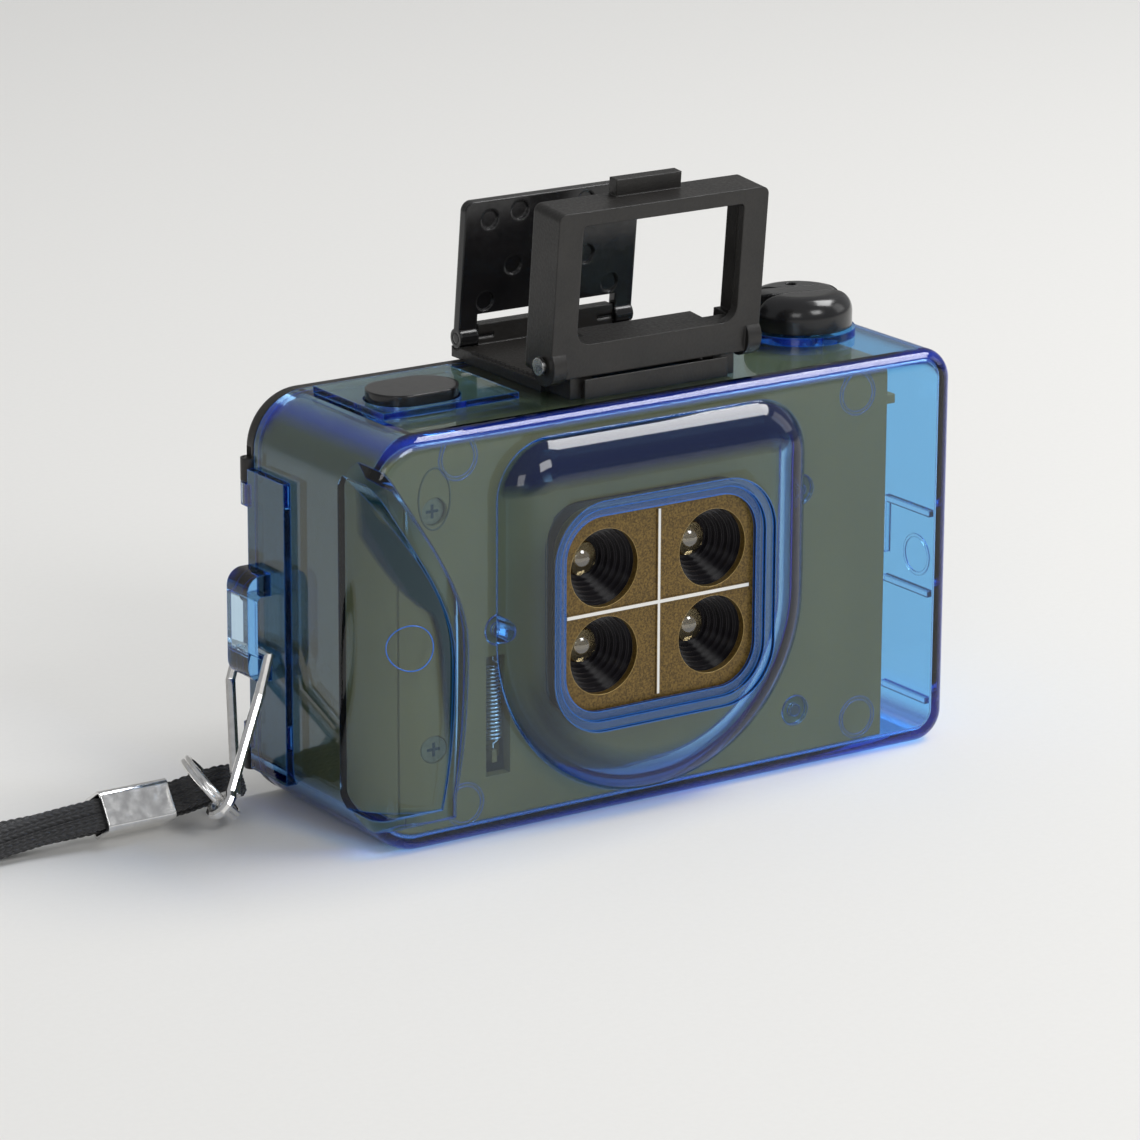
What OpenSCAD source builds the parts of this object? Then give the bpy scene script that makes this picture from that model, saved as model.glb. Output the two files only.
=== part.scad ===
// Toy film camera with a see-through moulded shell, four lenses in a stepped
// block, a folding finder on top and a wrist strap.
// Millimetres. x runs along the front, the front looks along -y, z is up and
// the middle of the base is the origin.

/* [Shell] */
// width across the front
body_w = 105; // [100:1:110]
// height without the finder
body_h = 63; // [62:0.5:66]
// depth from the flat front to the back of the door
body_d = 36.4; // [35:0.2:40]
// wall of the moulded shell
wall = 2; // [1.6:0.1:2.2]
// corner radius of the outline at the grip end
grip_corner_r = 8.5; // [7:0.5:10]
// corner radius of the outline at the rewind end
rewind_corner_r = 5; // [4.5:0.5:7]
// rounding of the front edges
edge_r = 2.8; // [2.6:0.1:3.4]
// depth of the black door at its rim
door_d = 2.9; // [2.7:0.1:3.2]
// gap between parts that move past each other
gap = 0.3; // [0.2:0.05:0.35]
// play between parts that are fixed together
fit = 0.1; // [0.05:0.05:0.15]
// play round a running shaft
run_fit = 0.06; // [0.04:0.01:0.08]
// how far a cut runs past the face it opens
over = 0.5; // [0.4:0.1:0.8]

/* [Grip scoop] */
// radius of the rounded grip
scoop_r = 12; // [11:0.5:13]
// height of the lip under the grip
lip_h = 6; // [5:0.5:8]
// height at which the shoulder meets the side
shoulder_z = 60; // [58:0.5:60.5]
// how far the shoulder runs in from the side at its deepest
scoop_w = 13.9; // [13:0.1:15]

/* [Lens housing] */
// middle of the housing across the front
lens_x = -3.8; // [-5:0.1:-2]
// height of the lens axis
lens_z = 32.2; // [31:0.1:33]
// width of the raised housing
bulge_w = 55.2; // [52:0.2:57]
// lowest point of the raised housing
bulge_z0 = 2.8; // [2.4:0.1:4]
// top of the raised housing
bulge_z1 = 60; // [59:0.1:60.2]
// how far the housing stands out
bulge_h = 3.9; // [3.5:0.1:4.2]
// width of the rounded flank of the housing
bulge_bevel = 6; // [5.5:0.1:6.5]
// radius of the upper corners of the housing
bulge_r = 9; // [8.5:0.5:11]
// width of the window at the outer lip
window_w = 39.6; // [39:0.1:40.2]
// height of the window at the outer lip
window_h = 35.4; // [34.8:0.1:36]
// corner radius of the window
window_r = 9; // [8:0.5:10]
// width of one step of the window lip
lip_step = 1.35; // [1.2:0.05:1.5]
// thickness of the bronze lens plate
plate_t = 1.2; // [1:0.1:1.5]
// distance between the lenses across
pitch_x = 19.5; // [19:0.1:20]
// distance between the lenses in height
pitch_z = 13.5; // [13.2:0.1:14]
// radius of a lens hole in the plate
cup_r = 6; // [5.6:0.1:6.2]
// radius of a lens
lens_r = 2.7; // [2.5:0.1:2.9]
// depth of a lens cup
cup_d = 5.6; // [5:0.1:6]
// width of the pale dividing lines
strip_w = 0.75; // [0.6:0.05:1]
// thickness of the pale dividing lines
strip_t = 0.2; // [0.15:0.05:0.25]

/* [Inner frame] */
// wall of the film box
box_wall = 1.4; // [1.2:0.1:1.5]
// thickness of the mechanism plate
mech_t = 1.8; // [1.6:0.1:2]
// length of a picture frame
frame_w = 36; // [35:0.5:36.5]
// height of a picture frame
frame_h = 24; // [23:0.5:24.5]
// where the film runs, behind the middle of the body
film_y = 11.5; // [11:0.1:11.8]
// end of the inner frame at the open film chamber
frame_end_x = 40.5; // [40:0.5:42]
// radius of a screw head
head_r = 2; // [1.8:0.1:2.2]
// radius of a screw shank
shank_r = 0.9; // [0.8:0.05:1]
// radius of a screw post in the shell
post_r = 2.3; // [2.1:0.1:2.5]
// radius of the shutter disc
shutter_r = 15.5; // [15:0.1:16]
// thickness of thin sheet pieces
sheet_t = 0.6; // [0.5:0.05:0.7]
// radius of the take-up spool core
spool_r = 4.4; // [4:0.1:4.6]
// radius of the advance wheel
wheel_r = 10.6; // [10.4:0.1:10.8]
// thickness of the advance wheel
wheel_t = 3.4; // [3:0.1:3.6]
// radius of the film sprocket
sprocket_r = 2.7; // [2.5:0.1:2.8]
// radius of the frame counter
counter_r = 5; // [4.8:0.1:5]
// travel of the shutter button
press = 1.6; // [1.2:0.1:1.7]
// wire of the springs
wire_d = 0.45; // [0.4:0.05:0.5]
// turns of the long return spring
return_turns = 9; // [7:1:9]
// turns of the button spring
button_turns = 3; // [2:1:3]

/* [Finder] */
// width of the finder hood at its foot
hood_w = 37.3; // [37:0.1:38]
// height of the hood above its hinge
hood_h = 23.6; // [23:0.1:23.8]
// depth of the hood in front of its hinge
hood_front = 2.2; // [2:0.1:2.4]
// depth of the hood behind its hinge
hood_back = 4.6; // [4.2:0.1:4.6]
// wall of the hood sides
hood_wall = 2.4; // [2.2:0.1:2.4]
// height of the hood hinge above the shell
hood_hinge_h = 5.4; // [5.4:0.05:5.8]
// distance of the hood hinge behind the front plane
hood_hinge_y = 7.2; // [7:0.1:7.6]
// width of the eye plate
eye_w = 31.5; // [31:0.1:31.6]
// height of the eye plate above its hinge
eye_h = 21.5; // [20:0.1:21.6]
// thickness of the eye plate
eye_t = 1.5; // [1.3:0.1:1.5]
// width of the eye hole
eye_hole = 5.4; // [5:0.1:6]
// thickness of the finder base
base_t = 2; // [1.8:0.1:2.1]
// radius of the finder hinge pins
pin_r = 0.8; // [0.7:0.05:0.9]
// forward lean of the open hood
hood_lean = 5.5; // [4:0.5:6]
// forward lean of the open eye plate
eye_lean = 6; // [4:0.5:6]

/* [Rewind] */
// distance of the rewind axis from the middle
rewind_x = 37.5; // [36.5:0.1:38]
// distance of the rewind axis behind the middle
rewind_y = 2.2; // [1.5:0.1:3]
// radius of the rewind knob
knob_r = 8.3; // [8:0.1:8.6]
// height of the rewind knob
knob_h = 5.4; // [5.2:0.1:5.8]
// radius of the rewind shaft
shaft_r = 2.6; // [2.5:0.1:2.8]
// how far the rewind knob pulls up
lift = 5; // [4:0.1:5]
// width of the crank arm
arm_w = 3.4; // [3.2:0.1:3.6]
// thickness of the crank arm
arm_t = 2.2; // [2:0.1:2.3]
// radius of the crank grip
grip_r = 1.6; // [1.5:0.05:1.7]
// direction of the folded crank
crank_turn = 165; // [150:5:180]

/* [Strap] */
// radius of the hook wire
hook_r = 0.8; // [0.7:0.05:0.8]
// radius of the split ring to the middle of its wire
ring_r = 5.6; // [5.5:0.05:5.7]
// radius of the split ring wire
ring_wire_r = 0.45; // [0.4:0.05:0.5]
// length of the crimped ferrule
ferrule_l = 11.3; // [10:0.1:12]
// width of the braid
braid_w = 4.8; // [4.6:0.1:4.9]
// thickness of the braid
braid_t = 2; // [1.8:0.1:2]

/* [Top and side] */
// distance of the shutter button from the middle
button_x = -35; // [-36:0.1:-34]
// distance of the shutter button from the middle of the depth
button_y = -1; // [-1.5:0.1:-0.5]
// length of the oval shutter button
button_w = 14.5; // [13:0.1:15]
// depth of the oval shutter button
button_d = 10; // [9.6:0.1:10.5]
// how far the button stands above the step
button_up = 1.6; // [1.4:0.1:2]
// where the button stem stands
stem_y = -3.2; // [-3.4:0.1:-3]
// radius of the button stem
stem_r = 1.1; // [1:0.05:1.2]
// step on the top at the grip end
step_x0 = -44; // [-45:0.5:-43.5]
// step on the top towards the finder
step_x1 = -20.5; // [-22:0.5:-20]
// front of the step on the top
step_y0 = -7.5; // [-8:0.5:-7]
// back of the step on the top
step_y1 = 12; // [11:0.5:12.5]
// height of the step on the top
step_h = 1; // [0.8:0.1:1.2]
// front of the raised pad on the side
pad_y = 4.7; // [4:0.1:5]
// lower end of the raised pad
pad_z0 = 5.5; // [5:0.5:7]
// upper end of the raised pad
pad_z1 = 52; // [50:0.5:52]
// thickness of the raised pad
pad_t = 1.2; // [1:0.1:1.3]
// lower end of the strap lug
lug_z0 = 21; // [20:0.5:22]
// upper end of the strap lug
lug_z1 = 37.5; // [36:0.5:38]
// how far the strap lug stands out
lug_out = 5.2; // [5:0.1:5.4]
// front of the strap lug
lug_y0 = 8.6; // [8.4:0.1:9]
// back of the strap lug
lug_y1 = 14.6; // [14.2:0.1:14.8]
// bars of the strap lug
lug_bar = 1.7; // [1.5:0.1:1.8]
// radius of the door hinge knuckles
knuckle_r = 1.35; // [1.3:0.05:1.4]
// length of a door knuckle
knuckle_l = 3.4; // [3.2:0.1:3.5]
// height of the lower door hinge
hinge_z0 = 6.7; // [6.6:0.1:7]
// height of the upper door hinge
hinge_z1 = 51.6; // [51:0.1:51.8]
// thickness of the door
door_t = 2; // [1.8:0.1:2.1]

/* [Film path] */
// axis of the take-up spool from the middle
spool_x = -37; // [-37.4:0.1:-36.8]
// axis of the take-up spool behind the middle
spool_y = 9.1; // [9:0.05:9.2]
// axis of the film sprocket from the middle
sprocket_x = -28.5; // [-28.7:0.1:-28.3]
// axis of the frame counter from the middle
counter_x = -18.6; // [-18.8:0.1:-17.6]
// axis of the frame counter behind the middle
counter_y = 4.7; // [4:0.1:4.8]
// radius of the spindles
spindle_r = 1.4; // [1.2:0.1:1.5]
// height of the film path
film_w = 36.4; // [36:0.1:37]
// height of the shelf under the advance wheel
shelf_z = 52; // [51.9:0.1:52.4]
// height of the roof of the film chamber
roof_z = 54.5; // [54:0.1:54.8]
// width of the film chamber from the rewind axis to its wall
chamber_r = 13.3; // [13:0.1:13.6]
// travel of the door latch
latch_travel = 3; // [2:0.1:3]
// length of the door latch
latch_l = 11; // [10:0.5:12]
// width of the door latch
latch_w = 6; // [5.5:0.1:6.2]
// distance of the latch from the end of the door
latch_in = 7.6; // [7.4:0.1:8]

/* [Hidden] */
$fn = 72;

left_x = -body_w / 2;
right_x = body_w / 2;
front_y = -body_d / 2;
back_y = body_d / 2;
part_y = back_y - door_d;
shell_y1 = part_y - gap;
inside_y = front_y + wall;
inside_z = body_h - wall;

// The grip is rounded about an upright axis and cut off by a curved shoulder
scoop_axis_share = 0.975;
scoop_back_share = 1.03;
scoop_axis_x = left_x + scoop_r * scoop_axis_share;
scoop_axis_y = front_y + scoop_r * scoop_back_share;
shoulder_shares = [[-0.13, 1], [0.35, 0.78], [1, 0.6], [1, 0.42]];
flank_shares = [[1, 0.42], [1, 0.25], [0.95, 0.12], [0.84, 0]];
lean_share = 0.5;
step_share = 0.5;
curve_steps = 12;

// The lens housing, from its face to the mechanism plate behind it
bulge_y = front_y - bulge_h;
bulge_x0 = lens_x - bulge_w / 2;
bulge_x1 = lens_x + bulge_w / 2;
bulge_u_r = bulge_w / 2 - over;
lip_t = wall / 3;
plate_y = bulge_y + wall + gap;
block_y = plate_y + plate_t;
cup_y = block_y + cup_d;
block_y1 = cup_y + plate_t;
block_share = 0.93;
block_w = window_w * block_share;
block_h = window_h * block_share;
cup_steps = 6;
mech_y = inside_y + gap;
mech_y1 = mech_y + mech_t;

// Screw posts and round moulding marks, as shares of half the width and of the height
post_shares = [[-0.575, 0.5], [0.462, 0.705], [0.455, 0.15]];
post_pts = [for (s = post_shares) [s[0] * right_x, s[1] * body_h]];
mark_shares = [[-0.71, 0.93], [-0.69, 0.09], [0.68, 0.1], [0.66, 0.92]];
mark_pts = [for (s = mark_shares) [s[0] * right_x, s[1] * body_h]];
mark_t = gap / 2;
mark_share = 1.43;
rib_shares = [0.09, 0.365, 0.57];
rib_t = wall / 2;
rib_end_share = 0.39;
rib_y = front_y + body_d * rib_end_share;
rib_drop_share = 0.44;
side_mark_shares = [0.19, 0.458];

// Top, side and door hinge
step_z = body_h + step_h;
ring_h = step_h + gap;
knob_z = body_h + ring_h + gap;
hinge_x = left_x - pad_t + knuckle_r;
hinge_y = part_y + knuckle_r;
hinge_pts = [hinge_z0, hinge_z1];

function mix(a, b, t) = a * (1 - t) + b * t;
function bend(p, t) = mix(mix(mix(p[0], p[1], t), mix(p[1], p[2], t), t),
    mix(mix(p[1], p[2], t), mix(p[2], p[3], t), t), t);

// Drawings in x and z pulled along y, and in y and z pulled along x
module front_pull(y0, y1) translate([0, y1, 0]) rotate([90, 0, 0]) linear_extrude(y1 - y0) children();
module side_pull(x0, x1) translate([x0, 0, 0]) rotate([90, 0, 90]) linear_extrude(x1 - x0) children();
module block(x0, x1, y0, y1, z0, z1) translate([x0, y0, z0]) cube([x1 - x0, y1 - y0, z1 - z0]);
module rod_y(x, z, r, y0, y1) translate([x, y1, z]) rotate([90, 0, 0]) cylinder(r = r, h = y1 - y0);
module rod_x(y, z, r, x0, x1) translate([x0, y, z]) rotate([0, 90, 0]) cylinder(r = r, h = x1 - x0);
module rod_z(x, y, r, z0, z1) translate([x, y, z0]) cylinder(r = r, h = z1 - z0);

// Outline with four corner radii: low left, low right, high right, high left
module outline(x0, x1, z0, z1, r) {
    polygon([[x0 + r[0], z0], [x1 - r[1], z0], [x1, z0 + r[1]], [x1, z1 - r[2]],
        [x1 - r[2], z1], [x0 + r[3], z1], [x0, z1 - r[3]], [x0, z0 + r[0]]]);
    translate([x0 + r[0], z0 + r[0]]) circle(r[0]);
    translate([x1 - r[1], z0 + r[1]]) circle(r[1]);
    translate([x1 - r[2], z1 - r[2]]) circle(r[2]);
    translate([x0 + r[3], z1 - r[3]]) circle(r[3]);
}

module even_outline(x, z, w, h, r)
    outline(x - w / 2, x + w / 2, z - h / 2, z + h / 2, [r, r, r, r]);

// Half section of a rounded edge: bw wide, bh high, reaching out to reach
module edge_section(reach, bw, bh) {
    arc_r = (bw * bw + bh * bh) / (2 * bh);
    square([reach - bw, bh]);
    intersection() {
        translate([reach - bw, bh - arc_r]) circle(arc_r);
        translate([reach - bw, 0]) square([bw, bh]);
    }
}

// Block with a rounded outline whose front edge is rounded too
module pillow(x0, x1, z0, z1, y0, y1, r, bw, bh) {
    ye = y0 + bh;
    reach = bw + over;
    front_pull(ye, y1) outline(x0, x1, z0, z1, r);
    front_pull(y0, ye) outline(x0 + bw, x1 - bw, z0 + bw, z1 - bw, [for (c = r) c - bw]);
    for (c = [[x0 + r[0], z0 + r[0], r[0]], [x1 - r[1], z0 + r[1], r[1]],
            [x1 - r[2], z1 - r[2], r[2]], [x0 + r[3], z1 - r[3], r[3]]])
        translate([c[0], ye, c[1]]) rotate([90, 0, 0]) rotate_extrude() edge_section(c[2], bw, bh);
    side_pull(x0 + r[3], x1 - r[2]) translate([ye, z1 - reach]) rotate(90) edge_section(reach, bw, bh);
    side_pull(x0 + r[0], x1 - r[1]) translate([ye, z0 + reach]) mirror([0, 1]) rotate(90)
        edge_section(reach, bw, bh);
    translate([x1 - reach, ye, z0 + r[1]]) linear_extrude(z1 - z0 - r[1] - r[2]) mirror([0, 1])
        edge_section(reach, bw, bh);
    translate([x0 + reach, ye, z0 + r[0]]) linear_extrude(z1 - z0 - r[0] - r[3]) rotate(180)
        edge_section(reach, bw, bh);
}

module scoop_outline(i) {
    tall = shoulder_z - lip_h;
    step = i + min(i, wall) * step_share;
    pts = concat([for (k = [0:curve_steps]) bend(shoulder_shares, k / curve_steps)],
        [for (k = [1:curve_steps]) bend(flank_shares, k / curve_steps)]);
    polygon(concat([for (p = pts) [left_x + p[0] * scoop_w + step, lip_h + p[1] * tall + i * lean_share]],
        [[left_x + flank_shares[3][0] * scoop_w + step, lip_h - i], [left_x - body_d, lip_h - i],
        [left_x - body_d, shoulder_z + i * lean_share]]));
}

module scoop(i) difference() {
    front_pull(front_y - over, scoop_axis_y) scoop_outline(i);
    rod_z(scoop_axis_x, scoop_axis_y, scoop_r - i, 0, body_h);
}

// The whole outer form of the body, drawn in by i, back to y1
module body_form(i, y1) {
    e = max(edge_r - i, over);
    g = grip_corner_r - i;
    r = rewind_corner_r - i;
    difference() {
        pillow(left_x + i, right_x - i, i, body_h - i, front_y + i, y1, [g, r, r, g], e, e);
        scoop(i);
    }
}

module bulge_form(i, y1) pillow(bulge_x0 + i, bulge_x1 - i, bulge_z0 + i, bulge_z1 - i, bulge_y + i, y1,
    [bulge_u_r - i, bulge_u_r - i, bulge_r - i, bulge_r - i], bulge_bevel, bulge_h);

module oval(x, y, w, d) {
    for (s = [-1, 1]) translate([x + s * (w - d) / 2, y]) circle(d / 2);
    translate([x - (w - d) / 2, y - d / 2]) square([w - d, d]);
}

// Two hinges: an ear of the door at each end of the pad, a knuckle of the shell towards the middle
module at_hinges() for (k = [0, 1]) translate([hinge_x, hinge_y, hinge_pts[k]]) mirror([0, 0,
    k]) children();
module shell_knuckle(r, grow) rod_z(0, 0, r, knuckle_l / 2 + gap - grow, knuckle_l * 3 / 2 + gap + grow);
module hinge_bore() rod_z(0, 0, pin_r + run_fit, -knuckle_l, knuckle_l * 2);

module front_shell() color("steelblue", 0.5) difference() {
    union() {
        difference() {
            union() {
                body_form(0, shell_y1);
                bulge_form(0, inside_y);
                block(left_x - pad_t, left_x + wall, pad_y, shell_y1, pad_z0, pad_z1);
                front_pull(lug_y0, lug_y1) outline(left_x - lug_out, left_x + wall, lug_z0, lug_z1,
                    [lug_bar * 3 / 2, lug_bar, lug_bar, lug_bar * 3 / 2]);
                block(step_x0, step_x1, step_y0, step_y1, body_h - wall, step_z);
                rod_z(rewind_x, rewind_y, knob_r + step_h / 2, body_h - wall, body_h + ring_h);
            }
            body_form(wall, back_y);
            bulge_form(wall, inside_y + over);
        }
        for (p = post_pts) rod_y(p[0], p[1], post_r, inside_y - bulge_h * lean_share,
            mech_y + mech_t / 2);
        for (p = mark_pts) difference() {
            rod_y(p[0], p[1], post_r * mark_share, inside_y - mark_t, inside_y + mark_t);
            rod_y(p[0], p[1], post_r * mark_share - rib_t / 2, inside_y, mech_y);
        }
        for (s = rib_shares) block(right_x - wall - rib_t, right_x - wall / 2, front_y + edge_r, rib_y,
            s * body_h, s * body_h + rib_t);
        block(right_x - wall - rib_t, right_x - wall / 2, rib_y - rib_t / 2, rib_y, rib_drop_share * body_h,
            rib_shares[2] * body_h + rib_t);
        difference() {
            rod_x(front_y + side_mark_shares[0] * body_d, side_mark_shares[1] * body_h, post_r * mark_share,
                right_x - wall - mark_t, right_x - wall + mark_t);
            rod_x(front_y + side_mark_shares[0] * body_d, side_mark_shares[1] * body_h,
                post_r * mark_share - rib_t / 2, right_x - wall * 2, right_x - wall);
        }
        at_hinges() {
            shell_knuckle(knuckle_r, 0);
            block(-knuckle_r, pin_r / 2, lug_y1 - wall - hinge_y, 0, knuckle_l / 2 + gap,
                knuckle_l * 3 / 2 + gap);
        }
    }
    window_cut();
    for (p = post_pts) rod_y(p[0], p[1], shank_r + fit, inside_y, mech_y1);
    front_pull(lug_y0 - over, lug_y1 + over) outline(left_x - lug_out + lug_bar, left_x - pad_t,
        lug_z0 + lug_bar * 2, lug_z1 - lug_bar * 2, [lug_bar / 2, fit, fit, lug_bar / 2]);
    translate([0, 0, body_h - wall - over]) linear_extrude(step_z)
        oval(button_x, button_y, button_w + 2 * gap, button_d + 2 * gap);
    rod_z(rewind_x, rewind_y, shaft_r + run_fit, body_h - wall - over, body_h + knob_h);
    rod_z(rewind_x, rewind_y, shaft_r + pad_t + gap, body_h - wall - over,
        washer_z + sheet_t + lift + gap);
    at_hinges() hinge_bore();
}

// The window narrows in steps behind the face of the housing
module window_cut() for (k = [0:2])
    front_pull(bulge_y - over, bulge_y + lip_t * (k + 1) + (k == 2 ? over : 0))
        even_outline(lens_x, lens_z, window_w - 2 * k * lip_step, window_h - 2 * k * lip_step,
            window_r - k * lip_step);

module shell_screws() color("silver") for (p = post_pts) {
    rod_y(p[0], p[1], shank_r, inside_y + gap, mech_y1 + gap);
    rod_y(p[0], p[1], head_r, mech_y1 + fit, mech_y1 + fit + shank_r);
}

// Places inside the body
inset_box = wall + gap;
inside_box = inset_box + box_wall;
box_y0 = mech_y1 + fit;
box_y1 = shell_y1 - gap;
floor_z = inside_box;
ceiling_z = body_h - inside_box;
gate_x0 = lens_x - frame_w / 2;
gate_x1 = lens_x + frame_w / 2;
gate_z0 = lens_z - frame_h / 2;
gate_z1 = lens_z + frame_h / 2;
film_z0 = lens_z - film_w / 2;
film_z1 = lens_z + film_w / 2;
chamber_x = rewind_x - chamber_r;
chamber_y = box_y0 + box_wall;
shutter_y = block_y1 + gap;
tunnel_y = shutter_y + sheet_t + gap;
septum_t = box_wall;
wheel_z = shelf_z + box_wall + gap * 2;
counter_z = wheel_z + wheel_t - sheet_t - gap;
frame_screw_shares = [[-0.785, 0.81], [-0.78, 0.235]];
frame_screw_pts = [for (s = frame_screw_shares) [s[0] * right_x, s[1] * body_h]];
frame_head_y = mech_y + mech_t / 3;
head_share = 0.4;
frame_head_t = mech_t * head_share;
lens_pts = [for (sx = [-1, 1], sz = [-1, 1]) [lens_x + sx * pitch_x / 2, lens_z + sz * pitch_z / 2]];

// The return spring hangs in a slot of the mechanism plate, on a peg of the slide
spring_r = shank_r + wire_d;
spring_x = post_pts[0][0];
spring_share = 0.8;
spring_y = mech_y + mech_t * spring_share;
spring_z1 = post_pts[0][1] - post_r - wall;
spring_z0 = spring_z1 - lug_z1 + lug_z0 + wall;
slide_y = mech_y1 + shank_r + gap * 2;
slide_t = plate_t;
slide_z1 = shelf_z;
stem_z = slide_z1 + gap;

module lens_plate() color("sienna") front_pull(plate_y, block_y) difference() {
    even_outline(lens_x, lens_z, block_w, block_h, window_r - 2 * lip_step);
    for (p = lens_pts) translate(p) circle(cup_r);
}

module cross_strips() color("white") {
    w = window_w - 5 * lip_step;
    h = window_h - 5 * lip_step;
    block(lens_x - w / 2, lens_x + w / 2, plate_y - strip_t, plate_y, lens_z - strip_w / 2,
        lens_z + strip_w / 2);
    block(lens_x - strip_w / 2, lens_x + strip_w / 2, plate_y - strip_t, plate_y, lens_z - h / 2,
        lens_z + h / 2);
}

module lens_block() color("#181818") difference() {
    front_pull(block_y, block_y1) even_outline(lens_x, lens_z, block_w, block_h, window_r - 2 * lip_step);
    for (p = lens_pts) {
        for (k = [0:cup_steps - 1]) rod_y(p[0], p[1], mix(cup_r, lens_r + gap, k / cup_steps),
            block_y - over, block_y + cup_d * (k + 1) / cup_steps);
        rod_y(p[0], p[1], lens_r + fit / 2, cup_y - over, block_y1 + over);
    }
}

dome_r_share = 1.1;
module lenses() color("lightcyan", 0.5) for (p = lens_pts) intersection() {
    translate([p[0], cup_y + lens_r / 4, p[1]]) sphere(r = lens_r * dome_r_share);
    rod_y(p[0], p[1], lens_r, cup_y - cup_d, block_y1 - fit);
}

module mechanism_plate() color("#3a3d33") difference() {
    body_form(inset_box, mech_y1);
    block(frame_end_x, right_x, front_y, back_y, 0, body_h);
    front_pull(front_y, back_y) even_outline(lens_x, lens_z, block_w + 2 * fit, block_h + 2 * fit,
        window_r - 2 * lip_step);
    for (p = post_pts) {
        rod_y(p[0], p[1], post_r + fit, front_y, mech_y + mech_t / 2 + fit);
        rod_y(p[0], p[1], shank_r + fit, front_y, mech_y1 + over);
    }
    for (p = frame_screw_pts) {
        rod_y(p[0], p[1], head_r + fit, front_y, frame_head_y + frame_head_t);
        rod_y(p[0], p[1], shank_r + fit, front_y, mech_y1 + over);
    }
    block(spring_x - spring_r - wire_d - gap, spring_x + spring_r + wire_d + gap, front_y, mech_y1 + over,
        spring_z0 - press - wall, spring_z1 + gap);
}

module frame_screws() color("silver") for (p = frame_screw_pts) {
    rod_y(p[0], p[1], head_r, frame_head_y, frame_head_y + frame_head_t);
    rod_y(p[0], p[1], shank_r, frame_head_y + frame_head_t, box_y0 + wall);
}

// Film box: outer walls, tunnel with its cross wall, film gate and two chambers
module film_box() color("#2c2e28") {
    difference() {
        intersection() {
            body_form(inset_box, box_y1);
            block(left_x, frame_end_x, box_y0, box_y1, 0, body_h);
        }
        intersection() {
            body_form(inside_box, back_y);
            block(left_x, gate_x0 - box_wall, box_y0 - over, back_y, 0, body_h);
        }
        block(gate_x0, chamber_x - box_wall, box_y0 - over, film_y - box_wall, floor_z, ceiling_z);
        block(gate_x0, gate_x1, front_y, back_y, gate_z0, gate_z1);
        block(gate_x0 - wall, chamber_x, film_y, back_y, film_z0, film_z1);
        block(chamber_x, body_w, chamber_y, back_y, floor_z, roof_z);
        block(chamber_x, body_w, chamber_y, back_y, roof_z + box_wall, ceiling_z);
        block(gate_x0 - wall, gate_x0 + wall, counter_y - counter_r, counter_y + counter_r,
            counter_z - gap, counter_z + sheet_t + gap);
        for (p = post_pts) rod_y(p[0], p[1], head_r + gap, front_y, box_y0 + shank_r + gap);
        for (p = frame_screw_pts) rod_y(p[0], p[1], shank_r + fit, front_y, box_y0 + wall + fit);
        front_pull(front_y, block_y1 + fit) even_outline(lens_x, lens_z, block_w + 2 * fit,
            block_h + 2 * fit,
            window_r - 2 * lip_step);
        rod_z(button_x, stem_y, stem_r + gap, ceiling_z - over, body_h);
        rod_z(counter_x + counter_r / 2, counter_y + counter_r / 2, counter_r / 3,
            ceiling_z - over, body_h);
        rod_z(rewind_x, rewind_y, shaft_r + run_fit, roof_z - over, body_h);
        rod_z(rewind_x, rewind_y, shaft_r + pad_t + gap, washer_z, body_h);
        rod_z(spool_x, spool_y, spindle_r + run_fit, inset_box + gap, floor_z + over);
        rod_z(sprocket_x, spool_y, spindle_r + run_fit, inset_box + gap, floor_z + over);
    }
    difference() {
        block(gate_x0 - box_wall, gate_x1 + box_wall, tunnel_y, film_y, gate_z0 - box_wall,
            gate_z1 + box_wall);
        block(gate_x0, gate_x1, tunnel_y - over, film_y + over, gate_z0, gate_z1);
    }
    block(lens_x - septum_t / 2, lens_x + septum_t / 2, tunnel_y, film_y - over, gate_z0 - over,
        gate_z1 + over);
    block(gate_x0 - over, gate_x1 + over, tunnel_y, film_y - over, lens_z - septum_t / 2,
        lens_z + septum_t / 2);
    rod_y(lens_x, lens_z, shank_r, shutter_y - gap + fit, tunnel_y + over);
    difference() {
        block(left_x + inset_box + box_wall / 2, gate_x0 - box_wall / 2, stem_y + stem_r + gap * 2,
            box_y1,
            shelf_z, shelf_z + box_wall);
        for (x = [spool_x, sprocket_x]) rod_z(x, spool_y, spindle_r + run_fit, 0, body_h);
    }
    difference() {
        block(chamber_x - over, rewind_x + chamber_r * lean_share, chamber_y - over, box_y1,
            roof_z, roof_z + box_wall);
        rod_z(rewind_x, rewind_y, shaft_r + run_fit, 0, body_h);
    }
    rod_z(counter_x, counter_y, shank_r, counter_z - gap, ceiling_z + over);
    for (k = [0, 1]) difference() {
        p = frame_screw_pts[k];
        union() {
            rod_y(p[0], p[1], post_r, box_y0, box_y0 + wall + post_r);
            block(p[0] - box_wall / 2, p[0] + box_wall / 2, box_y0 + box_wall / 2, box_y0 + wall + post_r,
                k == 0 ? p[1] : inset_box + box_wall / 2,
                    k == 0 ? body_h - inset_box - box_wall / 2 : p[1]);
        }
        rod_y(p[0], p[1], shank_r + fit, front_y, box_y0 + wall + fit);
    }
}

module shutter_disc() color("dimgray") front_pull(shutter_y, shutter_y + sheet_t) difference() {
    translate([lens_x, lens_z]) circle(shutter_r);
    translate([lens_x, lens_z]) circle(shank_r + run_fit);
    translate(lens_pts[1]) circle(lens_r);
}

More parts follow.
